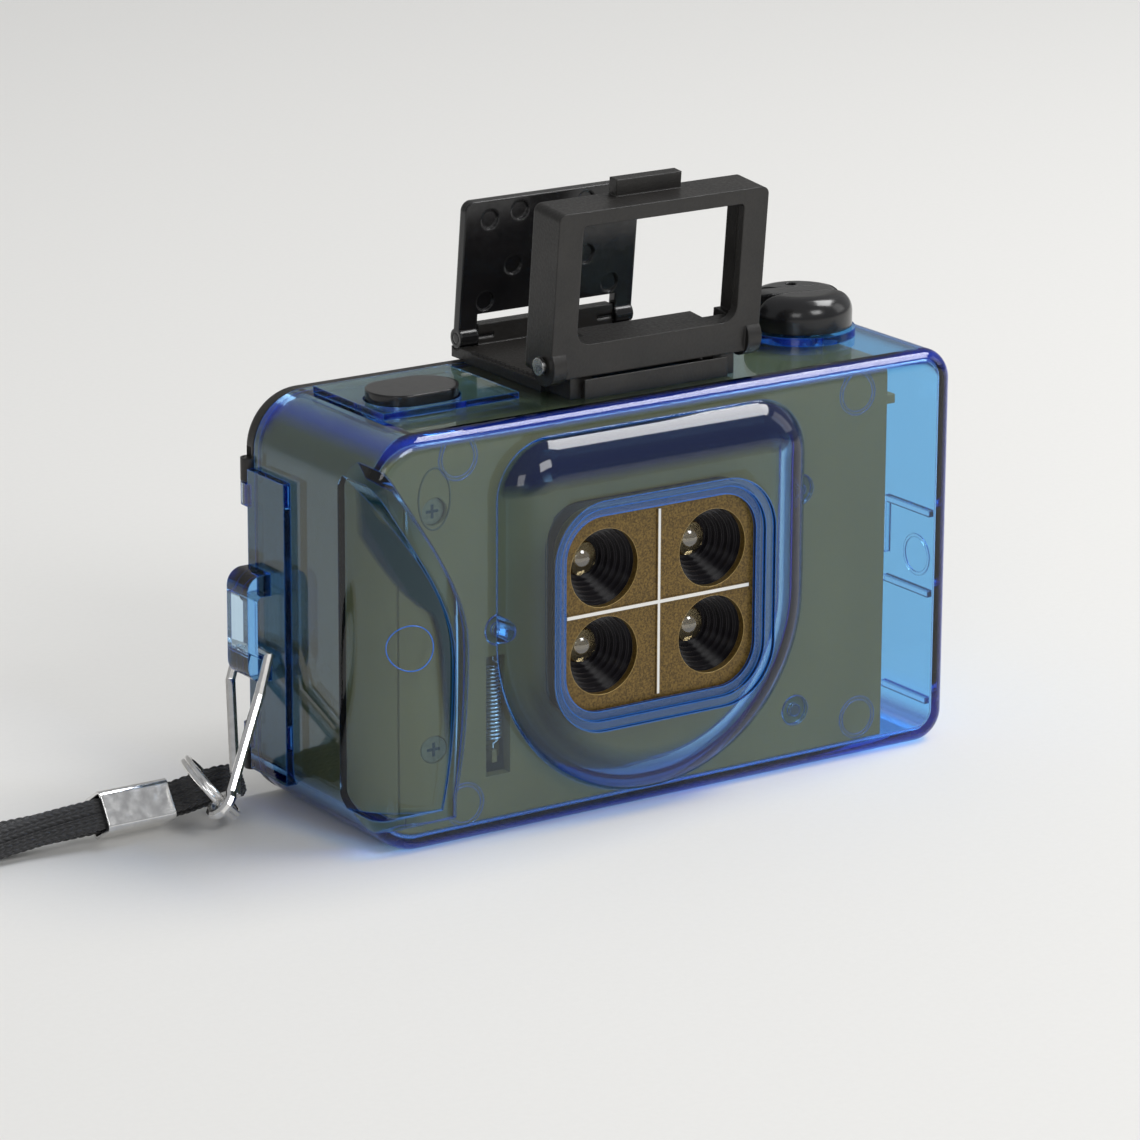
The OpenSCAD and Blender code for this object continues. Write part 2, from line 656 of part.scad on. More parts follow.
module release_slide() color("gray") {
    block(spring_x - post_r, spring_x + post_r, slide_y, slide_y + slide_t, spring_z0 - wall,
        slide_z1 - slide_t);
    block(button_x - stem_r * 2, spring_x + post_r, slide_y, stem_y + stem_r, slide_z1 - slide_t,
        slide_z1);
    block(spring_x - wire_d, spring_x + wire_d, spring_y - wire_d, slide_y, spring_z0 - wall,
        spring_z0 - fit);
}

// One unbroken wire wound about an upright axis, its ends bent in to the axis
function coil_pt(t, turns, r, len, tail) =
    let (n = turns * 360, s = t * (turns + 2))
    s < 1 ? [r * s, 0, tail * s]
    : s > turns + 1 ? [r * (turns + 2 - s), 0, len - tail * (turns + 2 - s)]
    : [r * cos((s - 1) * 360), r * sin((s - 1) * 360), tail + (len - 2 * tail) * (s - 1) / turns];
function unit(v) = v / norm(v);
function turn_along(dirs, i, done) = i == len(dirs) ? done
    : turn_along(dirs, i + 1, concat(done, [unit(done[i - 1] - (done[i - 1] * dirs[i]) * dirs[i])]));
module wire(pts, r, sides) {
    n = len(pts);
    dirs = [for (i = [0:n - 1]) unit(pts[min(i + 1, n - 1)] - pts[max(i - 1, 0)])];
    outs = turn_along(dirs, 1, [unit(cross(dirs[0], [1, 2, 3]))]);
    tube([for (i = [0:n - 1]) let (b = cross(dirs[i], outs[i])) [for (k = [0:sides - 1])
        pts[i] + r * (cos(360 * k / sides) * outs[i] + sin(360 * k / sides) * b)]], sides);
}
// Skin over a row of rings, closed at both ends
module tube(rings, sides) {
    n = len(rings);
    polyhedron([for (g = rings, p = g) p], concat(
        [for (i = [0:n - 2], k = [0:sides - 1]) let (a = i * sides + k, b = i * sides + (k + 1) % sides)
            [a, b + sides, b]],
        [for (i = [0:n - 2], k = [0:sides - 1]) let (a = i * sides + k, b = i * sides + (k + 1) % sides)
            [a, a + sides, b + sides]],
        [for (k = [1:sides - 2]) [0, k, k + 1]],
        [for (k = [1:sides - 2]) [(n - 1) * sides, (n - 1) * sides + k + 1, (n - 1) * sides + k]]));
}
coil_rings = 8;
coil_sides = 6;
function coil_pts(turns, r, tall, tail) = [for (i = [0:(turns + 2) * coil_rings])
    coil_pt(i / ((turns + 2) * coil_rings), turns, r, tall, tail)];
function ring_pts(turns, r, tall) = [for (i = [0:turns * coil_rings]) let (a = i * 360 / coil_rings)
    [r * cos(a), r * sin(a), wire_d / 2 + (tall - wire_d) * i / (turns * coil_rings)]];
// Least clear distance between turns of a wire
function clear_gap(pts) = let (n = len(pts) - 1, skip = coil_rings * 3 / 4)
    min([for (i = [0:n - skip], j = [i + skip:n]) norm(pts[i] - pts[j])]) - wire_d;

module return_spring() color("silver") translate([spring_x, spring_y, spring_z0])
    wire(return_pts, wire_d / 2, coil_sides);
return_pts = coil_pts(return_turns, spring_r, spring_z1 - spring_z0, wall / 2);
echo(return_spring_gap = clear_gap(return_pts));

button_z0 = body_h - inset_box + press + gap;
module shutter_button() color("#101010") difference() {
    union() {
        translate([0, 0, button_z0]) linear_extrude(step_z + button_up - button_z0)
            oval(button_x, button_y, button_w, button_d);
        rod_z(button_x, stem_y, stem_r, stem_z, step_z + button_up - wall / 2);
    }
    difference() {
        rod_z(button_x, stem_y, button_spring_r + wire_d + gap, inside_z, step_z + gap);
        rod_z(button_x, stem_y, stem_r, inside_z - over, step_z + button_up);
    }
}
button_spring_r = stem_r + gap + wire_d / 2;
button_spring_z0 = body_h - inset_box + fit;
module button_spring() color("silver") translate([button_x, stem_y, button_spring_z0])
    wire(button_pts, wire_d / 2, coil_sides);
button_pts = ring_pts(button_turns, button_spring_r, step_z - button_spring_z0);
echo(button_spring_gap = clear_gap(button_pts));

knurls = 36;
knurl_share = 0.8;
module advance_wheel() color("#151515") difference() {
    rod_z(spool_x, spool_y, wheel_r, wheel_z, wheel_z + wheel_t);
    rod_z(spool_x, spool_y, spindle_r, wheel_z - over, wheel_z + wheel_t + over);
    for (k = [1:knurls]) translate([spool_x, spool_y, 0]) rotate(k * 360 / knurls)
        rod_z(wheel_r, 0, sheet_t * knurl_share, wheel_z - over, wheel_z + wheel_t + over);
}

module takeup_spool() color("#202020") difference() {
    union() {
        rod_z(spool_x, spool_y, spindle_r, inset_box + gap * 2, wheel_z + wheel_t);
        rod_z(spool_x, spool_y, spool_r, floor_z + wall, shelf_z - gap);
    }
    block(spool_x - sheet_t, spool_x + sheet_t, spool_y - spool_r - over, spool_y - spindle_r - wall / 2,
        film_z0, film_z1);
}

tooth_shares = [0.12, 0.88];
module film_sprocket() color("#202020") {
    rod_z(sprocket_x, spool_y, spindle_r, inset_box + gap * 2, wheel_z);
    rod_z(sprocket_x, spool_y, sprocket_r - sheet_t, floor_z + wall, shelf_z - gap);
    for (s = tooth_shares) {
        z = mix(film_z0, film_z1, s);
        rod_z(sprocket_x, spool_y, sprocket_r, z - wall, z + wall);
        for (k = [0:3]) translate([sprocket_x, spool_y, 0]) rotate(k * 45)
            block(-sprocket_r - sheet_t, sprocket_r + sheet_t, -sheet_t / 2, sheet_t / 2,
                z - sheet_t, z + sheet_t);
    }
}

module frame_counter() color("ivory") difference() {
    rod_z(counter_x, counter_y, counter_r, counter_z, counter_z + sheet_t);
    rod_z(counter_x, counter_y, shank_r + run_fit, counter_z - over, counter_z + over + sheet_t);
}

// Door on the back, with its film pressure plate and sliding catch
rim_share = 0.75;
rim_r = door_t * rim_share;
rim_w = wall * rim_share * 2;
latch_x = right_x - latch_in;
latch_z = body_h / 2;
module back_door() color("#141414") difference() {
    union() {
        difference() {
            mirror([0, 1, 0]) pillow(left_x, right_x, 0, body_h, front_y, -part_y,
                [grip_corner_r, rewind_corner_r, rewind_corner_r, grip_corner_r], rim_r, rim_r);
            front_pull(0, back_y - door_t) outline(left_x + rim_w, right_x - rim_w, rim_w, body_h - rim_w,
                [wall, wall, wall, wall]);
            at_hinges() shell_knuckle(knuckle_r + gap, gap);
        }
        at_hinges() {
            rod_z(0, 0, knuckle_r, -knuckle_l / 2, knuckle_l / 2);
            block(0, wall * 2, -pin_r, pin_r, -knuckle_l / 2, knuckle_l / 2);
        }
    }
    at_hinges() hinge_bore();
    block(spool_x - wheel_r + wall / 2, spool_x + wheel_r - wall / 2, 0, body_d, wheel_z - gap,
        wheel_z + wheel_t + gap);
    block(latch_x - latch_w / 4 - gap, latch_x + latch_w / 4 + gap, 0, body_d, latch_z - latch_l / 2,
        latch_z + latch_l / 2 + latch_travel);
}

module door_hinge_pins() color("silver") at_hinges() rod_z(0, 0, pin_r, -knuckle_l / 2,
    knuckle_l * 3 / 2 + gap);

press_y = film_y + gap;
press_y1 = press_y + sheet_t;
module pressure_plate() color("#181818")
    block(gate_x0, gate_x1, press_y, press_y1, film_z0 + gap * 2, film_z1 - gap * 2);

// One bent leaf: its middle on the plate, its feet on the door
leaf_shares = [0.9, 1, 1.5, 1.6, 2];
module pressure_spring() color("silver") {
    y0 = press_y1;
    y1 = back_y - door_t;
    w = [for (s = leaf_shares) s * frame_w / 4];
    translate([lens_x, 0, lens_z - latch_w]) linear_extrude(latch_w * 2)
        polygon([[-w[4], y1], [-w[4], y1 - sheet_t], [-w[3], y1 - sheet_t], [-w[1], y0], [w[1], y0],
            [w[3], y1 - sheet_t], [w[4], y1 - sheet_t], [w[4], y1], [w[2], y1], [w[0], y0 + sheet_t],
            [-w[0], y0 + sheet_t], [-w[2], y1]]);
}

module door_latch() color("#202020") {
    z0 = latch_z - latch_l / 2 + gap;
    block(latch_x - latch_w / 2, latch_x + latch_w / 2, back_y + gap, back_y + gap + plate_t, z0,
        z0 + latch_l);
    block(latch_x - latch_w / 4, latch_x + latch_w / 4, back_y - door_t - gap * 2,
        back_y + gap * 2, z0, z0 + latch_l - gap * 2);
    block(latch_x - latch_w / 2 + gap * 2, latch_x + latch_w / 2 - gap * 2,
        back_y - door_t - gap - sheet_t, back_y - door_t - gap,
        z0, z0 + latch_l);
}

// Finder: a hood hinged at the front and an eye plate hinged at the back
hood_y = front_y + hood_hinge_y;
hood_z = body_h + hood_hinge_h;
hood_low_share = 0.41;
hood_low = hood_back * hood_low_share;
sill_h = hood_low + plate_t;
arm_r = pin_r + sheet_t;
top_bar = hood_front;
face_share = 0.7;
face_t = hood_front * face_share;
window_share = 0.77;
window_half = hood_w * window_share / 2;
hood_leg_r = sill_h;
arm_share = 0.345;
lip_shares = [[1.14, 1], [0.55, 1], [0.91, 0.61], [1, 0.45], [1.14, 0.45]];
arm_x = hood_w * arm_share;
arm_half = hood_low;
base_y0 = hood_y + hood_back + gap;
base_z = body_h + base_t;
eye_y = back_y - plate_t;
eye_z = base_z + plate_t + fit;
ear_w = eye_w / 10;
ear_x = eye_w / 2 - ear_w;
eye_gap_share = 0.17;
eye_gap_h = eye_h * eye_gap_share;
ledge_h = eye_gap_h - eye_t - gap;
eye_hole_share = 0.485;
eye_hole_z = eye_h * eye_hole_share;
tab_shares = [0.31, 1.15];
tab_w = hood_w * tab_shares[0];
tab_h = top_bar * tab_shares[1];
dimple_shares = [[-0.72, 0.26], [-0.72, 0.86], [0.72, 0.26], [0.72, 0.86], [-0.38, 0.9], [0.38,
    0.9], [-0.42, 0.5], [0.42, 0.5]];

teeth = 14;
tooth = sheet_t * 2;
module finder_base() color("#161616") difference() {
    union() {
        block(-eye_w / 2, eye_w / 2, base_y0, back_y, body_h, base_z);
        block(-ear_x + gap, ear_x - gap, eye_y - eye_t * lean_share - fit, back_y, base_z - over,
            eye_z + ledge_h);
        for (s = [-1, 1]) side_pull(s * arm_x - arm_half, s * arm_x + arm_half) {
            translate([hood_y, hood_z]) circle(arm_r);
            polygon([[hood_y - arm_r, hood_z], [hood_y - arm_r, body_h], [base_y0 + wall, body_h],
                [base_y0 + wall, base_z], [hood_y + arm_r, base_z], [hood_y + arm_r, hood_z]]);
        }
        side_pull(-arm_x, arm_x) translate([hood_y, hood_z]) polygon([for (s = lip_shares)
            [-s[0] * hood_front, -s[1] * hood_hinge_h]]);
    }
    block(-hood_w, hood_w, shell_y1 - gap, body_d, body_h - over, body_h + gap);
    for (s = [-1, 1], k = [0:teeth - 1]) translate([s * eye_w / 2, mix(base_y0 + wall,
        eye_y - wall * 2, k / teeth), base_z])
        rotate([0, 0, 45]) cube([tooth, tooth, sheet_t], center = true);
    for (s = [-1, 1]) {
        x0 = s < 0 ? -eye_w / 2 - over : ear_x - gap;
        rod_x(eye_y, eye_z, eye_t + gap, x0, x0 + ear_w + gap + over);
        rod_x(eye_y, eye_z, pin_r + run_fit, s * ear_x - ear_w, s * ear_x + ear_w);
    }
    rod_x(hood_y, hood_z, pin_r + run_fit, -hood_w, hood_w);
}

module finder_hood() color("#161616") translate([0, hood_y, hood_z]) rotate([hood_lean, 0,
    0]) difference() {
    w = hood_w / 2;
    union() {
        front_pull(-hood_front, hood_back) outline(-w, w, -hood_low, hood_h, [plate_t, plate_t,
            plate_t, plate_t]);
        for (s = [-1, 1]) rod_x(0, 0, hood_leg_r, s < 0 ? -w : w - hood_wall, s < 0 ? -w + hood_wall : w);
        block(-tab_w / 2, tab_w / 2, hood_back - top_bar, hood_back - gap, hood_h - over, hood_h + tab_h);
    }
    block(-w + hood_wall, w - hood_wall, -hood_front + face_t, hood_back + over, sill_h,
        hood_h - top_bar);
    front_pull(-hood_front - over, hood_back) outline(-window_half, window_half, sill_h, hood_h - top_bar,
        [plate_t * 2, plate_t * 2, lip_t, lip_t]);
    for (s = [-1, 1]) {
        x0 = s * arm_x - arm_half - gap;
        x1 = s * arm_x + arm_half + gap;
        block(x0, x1, -arm_r - gap, hood_back + over, -hood_leg_r - over, arm_r + gap);
        block(x0, x1, arm_r, hood_back + over, 0, sill_h + over);
    }
    rod_x(0, 0, pin_r + run_fit, -hood_w, hood_w);
}

pin_head_share = 1.7;
module hood_pin() color("silver") for (s = [-1, 1]) mirror([s < 0 ? 1 : 0, 0, 0]) {
    rod_x(hood_y, hood_z, pin_r, arm_x - arm_half, hood_w / 2 + gap);
    rod_x(hood_y, hood_z, pin_r * pin_head_share, hood_w / 2 + gap, hood_w / 2 + gap + sheet_t);
}

module finder_eye_plate() color("#121212") translate([0, eye_y, eye_z]) rotate([eye_lean, 0,
    0]) difference() {
    t = eye_t / 2;
    union() {
        front_pull(-t, t) outline(-eye_w / 2, eye_w / 2, eye_gap_h, eye_h, [fit, fit, eye_t, eye_t]);
        for (s = [-1, 1]) {
            x0 = s < 0 ? -eye_w / 2 : ear_x;
            block(x0, x0 + ear_w, -t, t, 0, eye_gap_h + over);
            rod_x(0, 0, eye_t, x0, x0 + ear_w);
        }
    }
    front_pull(-eye_t, eye_t) even_outline(0, eye_hole_z + eye_hole / 2, eye_hole, eye_hole, plate_t);
    for (s = dimple_shares) rod_y(s[0] * eye_w / 2, s[1] * eye_h, eye_t, -t - over, -t + eye_t / 4);
    rod_x(0, 0, pin_r + run_fit, -eye_w, eye_w);
}

module eye_plate_pin() color("silver") for (s = [-1, 1]) mirror([s < 0 ? 1 : 0, 0, 0])
    rod_x(eye_y, eye_z, pin_r, ear_x - ear_w + fit, eye_w / 2);

// Rewind knob with a folding crank let into its top
knob_top = knob_z + knob_h;
dome_share = 0.6;
dome_r = knob_h * dome_share;
pivot_share = 0.65;
pivot_in = knob_r * pivot_share;
grip_in = knob_r * dome_share;
arm_z = knob_top - arm_t;
pivot_r = arm_t / 3;
pivot_z = arm_z + pivot_r;
stud_share = 0.45;
stud_r = grip_r * stud_share;
notch_r = grip_r + plate_t;
washer_z = roof_z + box_wall + gap;

module at_rewind() translate([rewind_x, rewind_y, 0]) rotate(crank_turn) children();
module knob_form() translate([0, 0, knob_z]) rotate_extrude() {
    square([knob_r, knob_h - dome_r]);
    translate([0, knob_h - dome_r]) edge_section(knob_r, dome_r, dome_r);
}

module rewind_knob() color("#121212") at_rewind() difference() {
    knob_form();
    rod_z(grip_in, 0, notch_r, knob_z - over, knob_top + over);
    block(grip_in, knob_r * 2, -notch_r, notch_r, knob_z - over, knob_top + over);
    block(-knob_r * 2, grip_in, -arm_w / 2 - gap, arm_w / 2 + gap, arm_z - gap, knob_top + over);
    translate([-pivot_in, 0, pivot_z]) rotate([90, 0, 0])
        cylinder(r = pin_r / 2 + run_fit, h = knob_r, center = true);
    rod_z(0, 0, shaft_r + fit / 2, knob_z - over, knob_z + knob_h / 4);
    rod_z(0, -arm_w, shank_r, knob_top - wall, knob_top + over);
}

module crank_arm() color("#1a1a1a") at_rewind() difference() {
    union() {
        intersection() {
            knob_form();
            union() {
                block(-pivot_in, grip_in, -arm_w / 2, arm_w / 2, arm_z, knob_top);
                rod_z(grip_in, 0, arm_w / 2, arm_z, knob_top);
            }
        }
        translate([-pivot_in, 0, pivot_z]) rotate([90, 0, 0]) cylinder(r = pivot_r, h = arm_w,
            center = true);
        rod_z(grip_in, 0, stud_r, knob_z + gap, arm_z + over);
    }
    translate([-pivot_in, 0, pivot_z]) rotate([90, 0, 0])
        cylinder(r = pin_r / 2 + run_fit, h = knob_r, center = true);
}

module crank_pin() color("silver") at_rewind() translate([-pivot_in, 0, pivot_z]) rotate([90, 0, 0])
    cylinder(r = pin_r / 2, h = arm_w + arm_t, center = true);

module crank_grip() color("#101010") at_rewind() difference() {
    rod_z(grip_in, 0, grip_r, knob_z + gap, arm_z - fit);
    rod_z(grip_in, 0, stud_r + run_fit, knob_z - over, arm_z + over);
}

module rewind_shaft() color("gray") difference() {
    rod_z(rewind_x, rewind_y, shaft_r, roof_z - lift, knob_z + knob_h / 4 - fit);
    block(rewind_x - shaft_r / 3, rewind_x + shaft_r / 3, -body_d, body_d, 0, roof_z - lift / 5);
}

module rewind_washer() color("silver") difference() {
    rod_z(rewind_x, rewind_y, shaft_r + pad_t, washer_z, washer_z + sheet_t);
    rod_z(rewind_x, rewind_y, shaft_r + run_fit, washer_z - over, washer_z + sheet_t + over);
}

// Wrist strap: one flat braid, both ends held in a crimped ferrule.
// Points along its middle line, with the tilt of its width from the ground.
strap_pts = [[-76.2, 10.5, 5], [-84, 10.6, 4.8], [-93, 11.4, 3.9], [-104, 10.6, 2.9], [-116, 6, 2.6],
    [-130, 1, 2.6], [-146, -1, 2.6], [-160, 3, 2.6], [-168, 13, 2.6], [-161, 24, 2.6], [-147, 29, 2.6],
    [-131, 28, 2.6], [-117, 22, 2.6], [-104, 15.8, 2.6], [-93, 13.8, 3.1], [-84, 12.6, 3.6],
    [-76, 12.3, 3.8], [-71, 12.4, 3.8], [-66.5, 13.8, 3.4], [-62.5, 14.9, 3.4], [-59.4, 14.6, 3.7],
    [-57.6, 12.6, 4.8], [-59.4, 10.6, 6], [-62.5, 10, 6.4], [-66.5, 10.1, 5.9], [-71, 10.5, 5.1],
    [-75.4, 10.5, 5]];
strap_tilts = [57, 60, 75, 88, 90, 90, 90, 90, 90, 90, 90, 90, 90, 88, 75, 60, 57, 57, 57, 57, 57, 57, 57,
    57, 57, 57, 57];
tilt = 57;
ferrule_at = [-76.4, 11.4, 4.4];
ring_at = [-64.5, 8.5, 6.3];
ring_turn = [0, 50, -18];
hook_top = [[-54.9, 7.4, 25.4], [-54.9, 15.8, 25.4]];
hook_mid = [[-56.6, 7.4, 19.6], [-56.6, 15.8, 19.6]];
ferrule_wall = ring_wire_r;

strap_fine = 3;
strap_sides = 10;
edge_shares = [0.35, 0.6];
function at_pts(p, i) = p[max(0, min(len(p) - 1, i))];
function spline(p, i, t) = let (a = at_pts(p, i - 1), b = at_pts(p, i), c = at_pts(p, i + 1),
    d = at_pts(p, i + 2))
    0.5 * (2 * b + (c - a) * t + (2 * a - 5 * b + 4 * c - d) * t * t + (3 * b - a - 3 * c + d) * t * t * t);
function fine(p) = [for (i = [0:len(p) - 2], k = [0:strap_fine - 1]) spline(p, i, k / strap_fine)];
module wrist_strap() color("#101010") {
    pts = concat(fine(strap_pts), [strap_pts[len(strap_pts) - 1]]);
    tilts = concat(fine(strap_tilts), [tilt]);
    n = len(pts);
    rings = [for (i = [0:n - 1]) let (d = unit(pts[min(i + 1, n - 1)] - pts[max(i - 1, 0)]),
        w0 = [0, cos(tilts[i]), sin(tilts[i])], m = unit(cross(d, w0)), w = cross(m, d))
        [for (k = [0:strap_sides - 1]) let (a = 360 * (k + 0.5) / strap_sides)
            pts[i] + w * braid_w / 2 * sign(cos(a)) * pow(abs(cos(a)), edge_shares[0])
            + m * braid_t / 2 * sign(sin(a)) * pow(abs(sin(a)), edge_shares[1])]];
    tube(rings, strap_sides);
}
module strap_ferrule() color("silver") translate(ferrule_at) rotate([tilt, 0, 0]) difference() {
    w = braid_w + 6 * fit;
    t = braid_t * 2 + 6 * fit;
    side_pull(-ferrule_l / 2, ferrule_l / 2) even_outline(0, 0, w + 2 * ferrule_wall,
        t + 2 * ferrule_wall, braid_t / 2);
    side_pull(-ferrule_l, ferrule_l) even_outline(0, 0, w, t, braid_t / 6);
}

overlap_share = 0.9;
module split_ring() color("silver") translate(ring_at) rotate(ring_turn) rotate_extrude()
    for (s = [-1, 1]) translate([ring_r, s * ring_wire_r * overlap_share]) circle(ring_wire_r);

// The hook is one bent wire: through the lug, down both sides and round the near side of the ring
hook_shares = [1.6, 1.1];
hook_angle = -80;
hook_loop_r = ring_wire_r * 2 + hook_r * hook_shares[0];
function turned(v) = let (c = cos(ring_turn[1]), s = sin(ring_turn[1]), x = v[0] * c + v[2] * s,
    k = cos(ring_turn[2]), m = sin(ring_turn[2]))
    [x * k - v[1] * m, x * m + v[1] * k, v[2] * c - v[0] * s];
hook_out = turned([cos(hook_angle), sin(hook_angle), 0]);
hook_along = turned([-sin(hook_angle), cos(hook_angle), 0]);
hook_up = turned([0, 0, 1]);
hook_loop = ring_at + ring_r * hook_out;
hook_round = [for (k = [0:11]) let (a = 15 + 30 * k) hook_loop
    + hook_loop_r * (cos(a) * hook_up + sin(a) * hook_out)
    + hook_r * hook_shares[1] * (k * 2 / 11 - 1) * hook_along];
hook_sides = 8;
module strap_hook() color("silver") wire(concat([mix(hook_top[0], hook_top[1], 0.49), hook_top[0],
    hook_mid[0]],
    hook_round, [hook_mid[1], hook_top[1], mix(hook_top[0], hook_top[1], 0.51)]), hook_r, hook_sides);

front_shell();
shell_screws();
lens_plate();
cross_strips();
lens_block();
lenses();
mechanism_plate();
film_box();
frame_screws();
shutter_disc();
release_slide();
return_spring();
shutter_button();
button_spring();
advance_wheel();
takeup_spool();
film_sprocket();
frame_counter();
back_door();
door_hinge_pins();
pressure_plate();
pressure_spring();
door_latch();
finder_base();
finder_hood();
hood_pin();
finder_eye_plate();
eye_plate_pin();
rewind_knob();
rewind_shaft();
rewind_washer();
crank_arm();
crank_pin();
crank_grip();
strap_hook();
split_ring();
strap_ferrule();
wrist_strap();
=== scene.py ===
import bpy
import math
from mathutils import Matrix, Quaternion, Vector
from mathutils.bvhtree import BVHTree


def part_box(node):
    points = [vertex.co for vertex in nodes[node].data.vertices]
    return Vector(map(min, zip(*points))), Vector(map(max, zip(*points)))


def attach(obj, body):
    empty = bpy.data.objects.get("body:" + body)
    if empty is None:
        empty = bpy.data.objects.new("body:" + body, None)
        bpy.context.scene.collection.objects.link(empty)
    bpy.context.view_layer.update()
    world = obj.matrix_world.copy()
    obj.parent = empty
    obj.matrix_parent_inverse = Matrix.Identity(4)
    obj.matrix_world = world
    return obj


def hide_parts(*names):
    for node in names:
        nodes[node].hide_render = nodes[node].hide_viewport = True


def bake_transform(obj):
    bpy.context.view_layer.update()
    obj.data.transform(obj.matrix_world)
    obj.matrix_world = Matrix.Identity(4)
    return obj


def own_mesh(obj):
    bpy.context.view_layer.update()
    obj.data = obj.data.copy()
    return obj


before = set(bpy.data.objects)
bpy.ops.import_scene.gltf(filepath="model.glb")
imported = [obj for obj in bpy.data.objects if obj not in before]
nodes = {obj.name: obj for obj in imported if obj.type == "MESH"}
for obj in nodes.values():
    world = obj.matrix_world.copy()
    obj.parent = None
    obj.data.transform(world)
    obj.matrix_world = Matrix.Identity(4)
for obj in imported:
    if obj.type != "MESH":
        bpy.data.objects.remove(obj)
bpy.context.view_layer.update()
scene = bpy.context.scene
scene.view_settings.view_transform = "Standard"
print("frame loaded:", len(nodes), "nodes")

# camera at the photo's angle, in metres
shot = {
    "at": (-0.4329, -0.6316, 0.2592),
    "aim": (-0.00626, 0.0, 0.03251),
    "roll": 0.25,     # degrees
    "lens": 166.1,    # millimetres, as the sensor
    "sensor": 36,
    "nearest": 0.01,
}


def setCamera(s):
    data = bpy.data.cameras.new("shotCamera")
    data.lens = s["lens"]
    data.sensor_width = s["sensor"]
    data.clip_start = s["nearest"]
    cam = bpy.data.objects.new("shotCamera", data)
    scene.collection.objects.link(cam)
    look = Vector(s["aim"]) - Vector(s["at"])
    roll = Quaternion((0, 0, 1), math.radians(s["roll"]))
    cam.location = s["at"]
    cam.rotation_mode = "QUATERNION"
    cam.rotation_quaternion = look.to_track_quat("-Z", "Y") @ roll
    scene.camera = cam


setCamera(shot)
print("camera set")


# small helpers for shader nodes

def newFinish(name):
    mat = bpy.data.materials.new(name)
    mat.use_nodes = True
    tree = mat.node_tree
    tree.nodes.clear()
    out = tree.nodes.new("ShaderNodeOutputMaterial")
    skin = tree.nodes.new("ShaderNodeBsdfPrincipled")
    tree.links.new(skin.outputs[0], out.inputs["Surface"])
    place = tree.nodes.new("ShaderNodeTexCoord").outputs["Object"]
    return mat, tree, skin, place


def setSockets(node, values):
    for name, value in values.items():
        node.inputs[name].default_value = value
    return node


def noiseAt(tree, place, scale, detail=3.0, rough=0.55):
    noise = tree.nodes.new("ShaderNodeTexNoise")
    setSockets(noise, {"Scale": scale, "Detail": detail, "Roughness": rough})
    tree.links.new(place, noise.inputs["Vector"])
    return noise.outputs["Fac"]


def rangeOf(tree, source, low, high, fromLow=0.3, fromHigh=0.7):
    spread = tree.nodes.new("ShaderNodeMapRange")
    setSockets(spread, {"From Min": fromLow, "From Max": fromHigh, "To Min": low, "To Max": high})
    tree.links.new(source, spread.inputs["Value"])
    return spread.outputs["Result"]


# nothing at the first limit, the full share at the second
def fade(tree, value, limits, most=1):
    return rangeOf(tree, value, 0, most, *limits)


def tintBetween(tree, source, dark, pale, low=0.3, high=0.7):
    ramp = tree.nodes.new("ShaderNodeValToRGB")
    for stop, tint, at in zip(ramp.color_ramp.elements, (dark, pale), (low, high)):
        stop.position = at
        stop.color = (*tint, 1)
    tree.links.new(source, ramp.inputs["Fac"])
    return ramp.outputs["Color"]


def mathOf(tree, operation, *values):
    made = tree.nodes.new("ShaderNodeMath")
    made.operation = operation
    for socket, value in zip(made.inputs, values):
        if isinstance(value, (int, float)):
            socket.default_value = value
        else:
            tree.links.new(value, socket)
    return made.outputs[0]


def largest(tree, first, *rest):
    for value in rest:
        first = mathOf(tree, "MAXIMUM", first, value)
    return first


def product(tree, first, *rest):
    for value in rest:
        first = mathOf(tree, "MULTIPLY", first, value)
    return first


def partsOf(tree, vector):
    split = tree.nodes.new("ShaderNodeSeparateXYZ")
    tree.links.new(vector, split.inputs[0])
    return split.outputs


edgeSamples = 6


def roundedNormal(tree, radius):
    edge = setSockets(tree.nodes.new("ShaderNodeBevel"), {"Radius": radius})
    edge.samples = edgeSamples
    return edge.outputs["Normal"]


def bumpOn(tree, skin, height, strength, depth):
    bump = setSockets(tree.nodes.new("ShaderNodeBump"), {"Strength": strength, "Distance": depth})
    tree.links.new(height, bump.inputs["Height"])
    tree.links.new(bump.outputs["Normal"], skin.inputs["Normal"])
    return bump


# fine grain, and sharp edges that look rounded
def softEdge(tree, skin, height, p):
    bump = bumpOn(tree, skin, height, p["bump"], p["depth"])
    tree.links.new(roundedNormal(tree, p["edge"]), bump.inputs["Normal"])


# how near a sharp edge is, from the turn of its rounded normal
def edgeShare(tree, width, limits, most=1):
    agree = tree.nodes.new("ShaderNodeVectorMath")
    agree.operation = "DOT_PRODUCT"
    tree.links.new(roundedNormal(tree, width), agree.inputs[0])
    tree.links.new(tree.nodes.new("ShaderNodeNewGeometry").outputs["Normal"], agree.inputs[1])
    return fade(tree, agree.outputs["Value"], limits, most)


# finishes on nodes, new pieces and places from the frame

def dress(mat, *names):
    for name in names:
        slots = nodes[name].data.materials
        if len(slots) == 0:
            slots.append(mat)
        for i in range(len(slots)):
            slots[i] = mat


def newPiece(name, verts, faces, finish, smooth=True):
    mesh = bpy.data.meshes.new(name)
    mesh.from_pydata(verts, [], faces)
    mesh.polygons.foreach_set("use_smooth", [smooth] * len(mesh.polygons))
    mesh.materials.append(bpy.data.materials[finish])
    piece = bpy.data.objects.new(name, mesh)
    scene.collection.objects.link(piece)
    return piece


def middleOf(node, axis):
    low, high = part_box(node)
    return (low[axis] + high[axis]) / 2


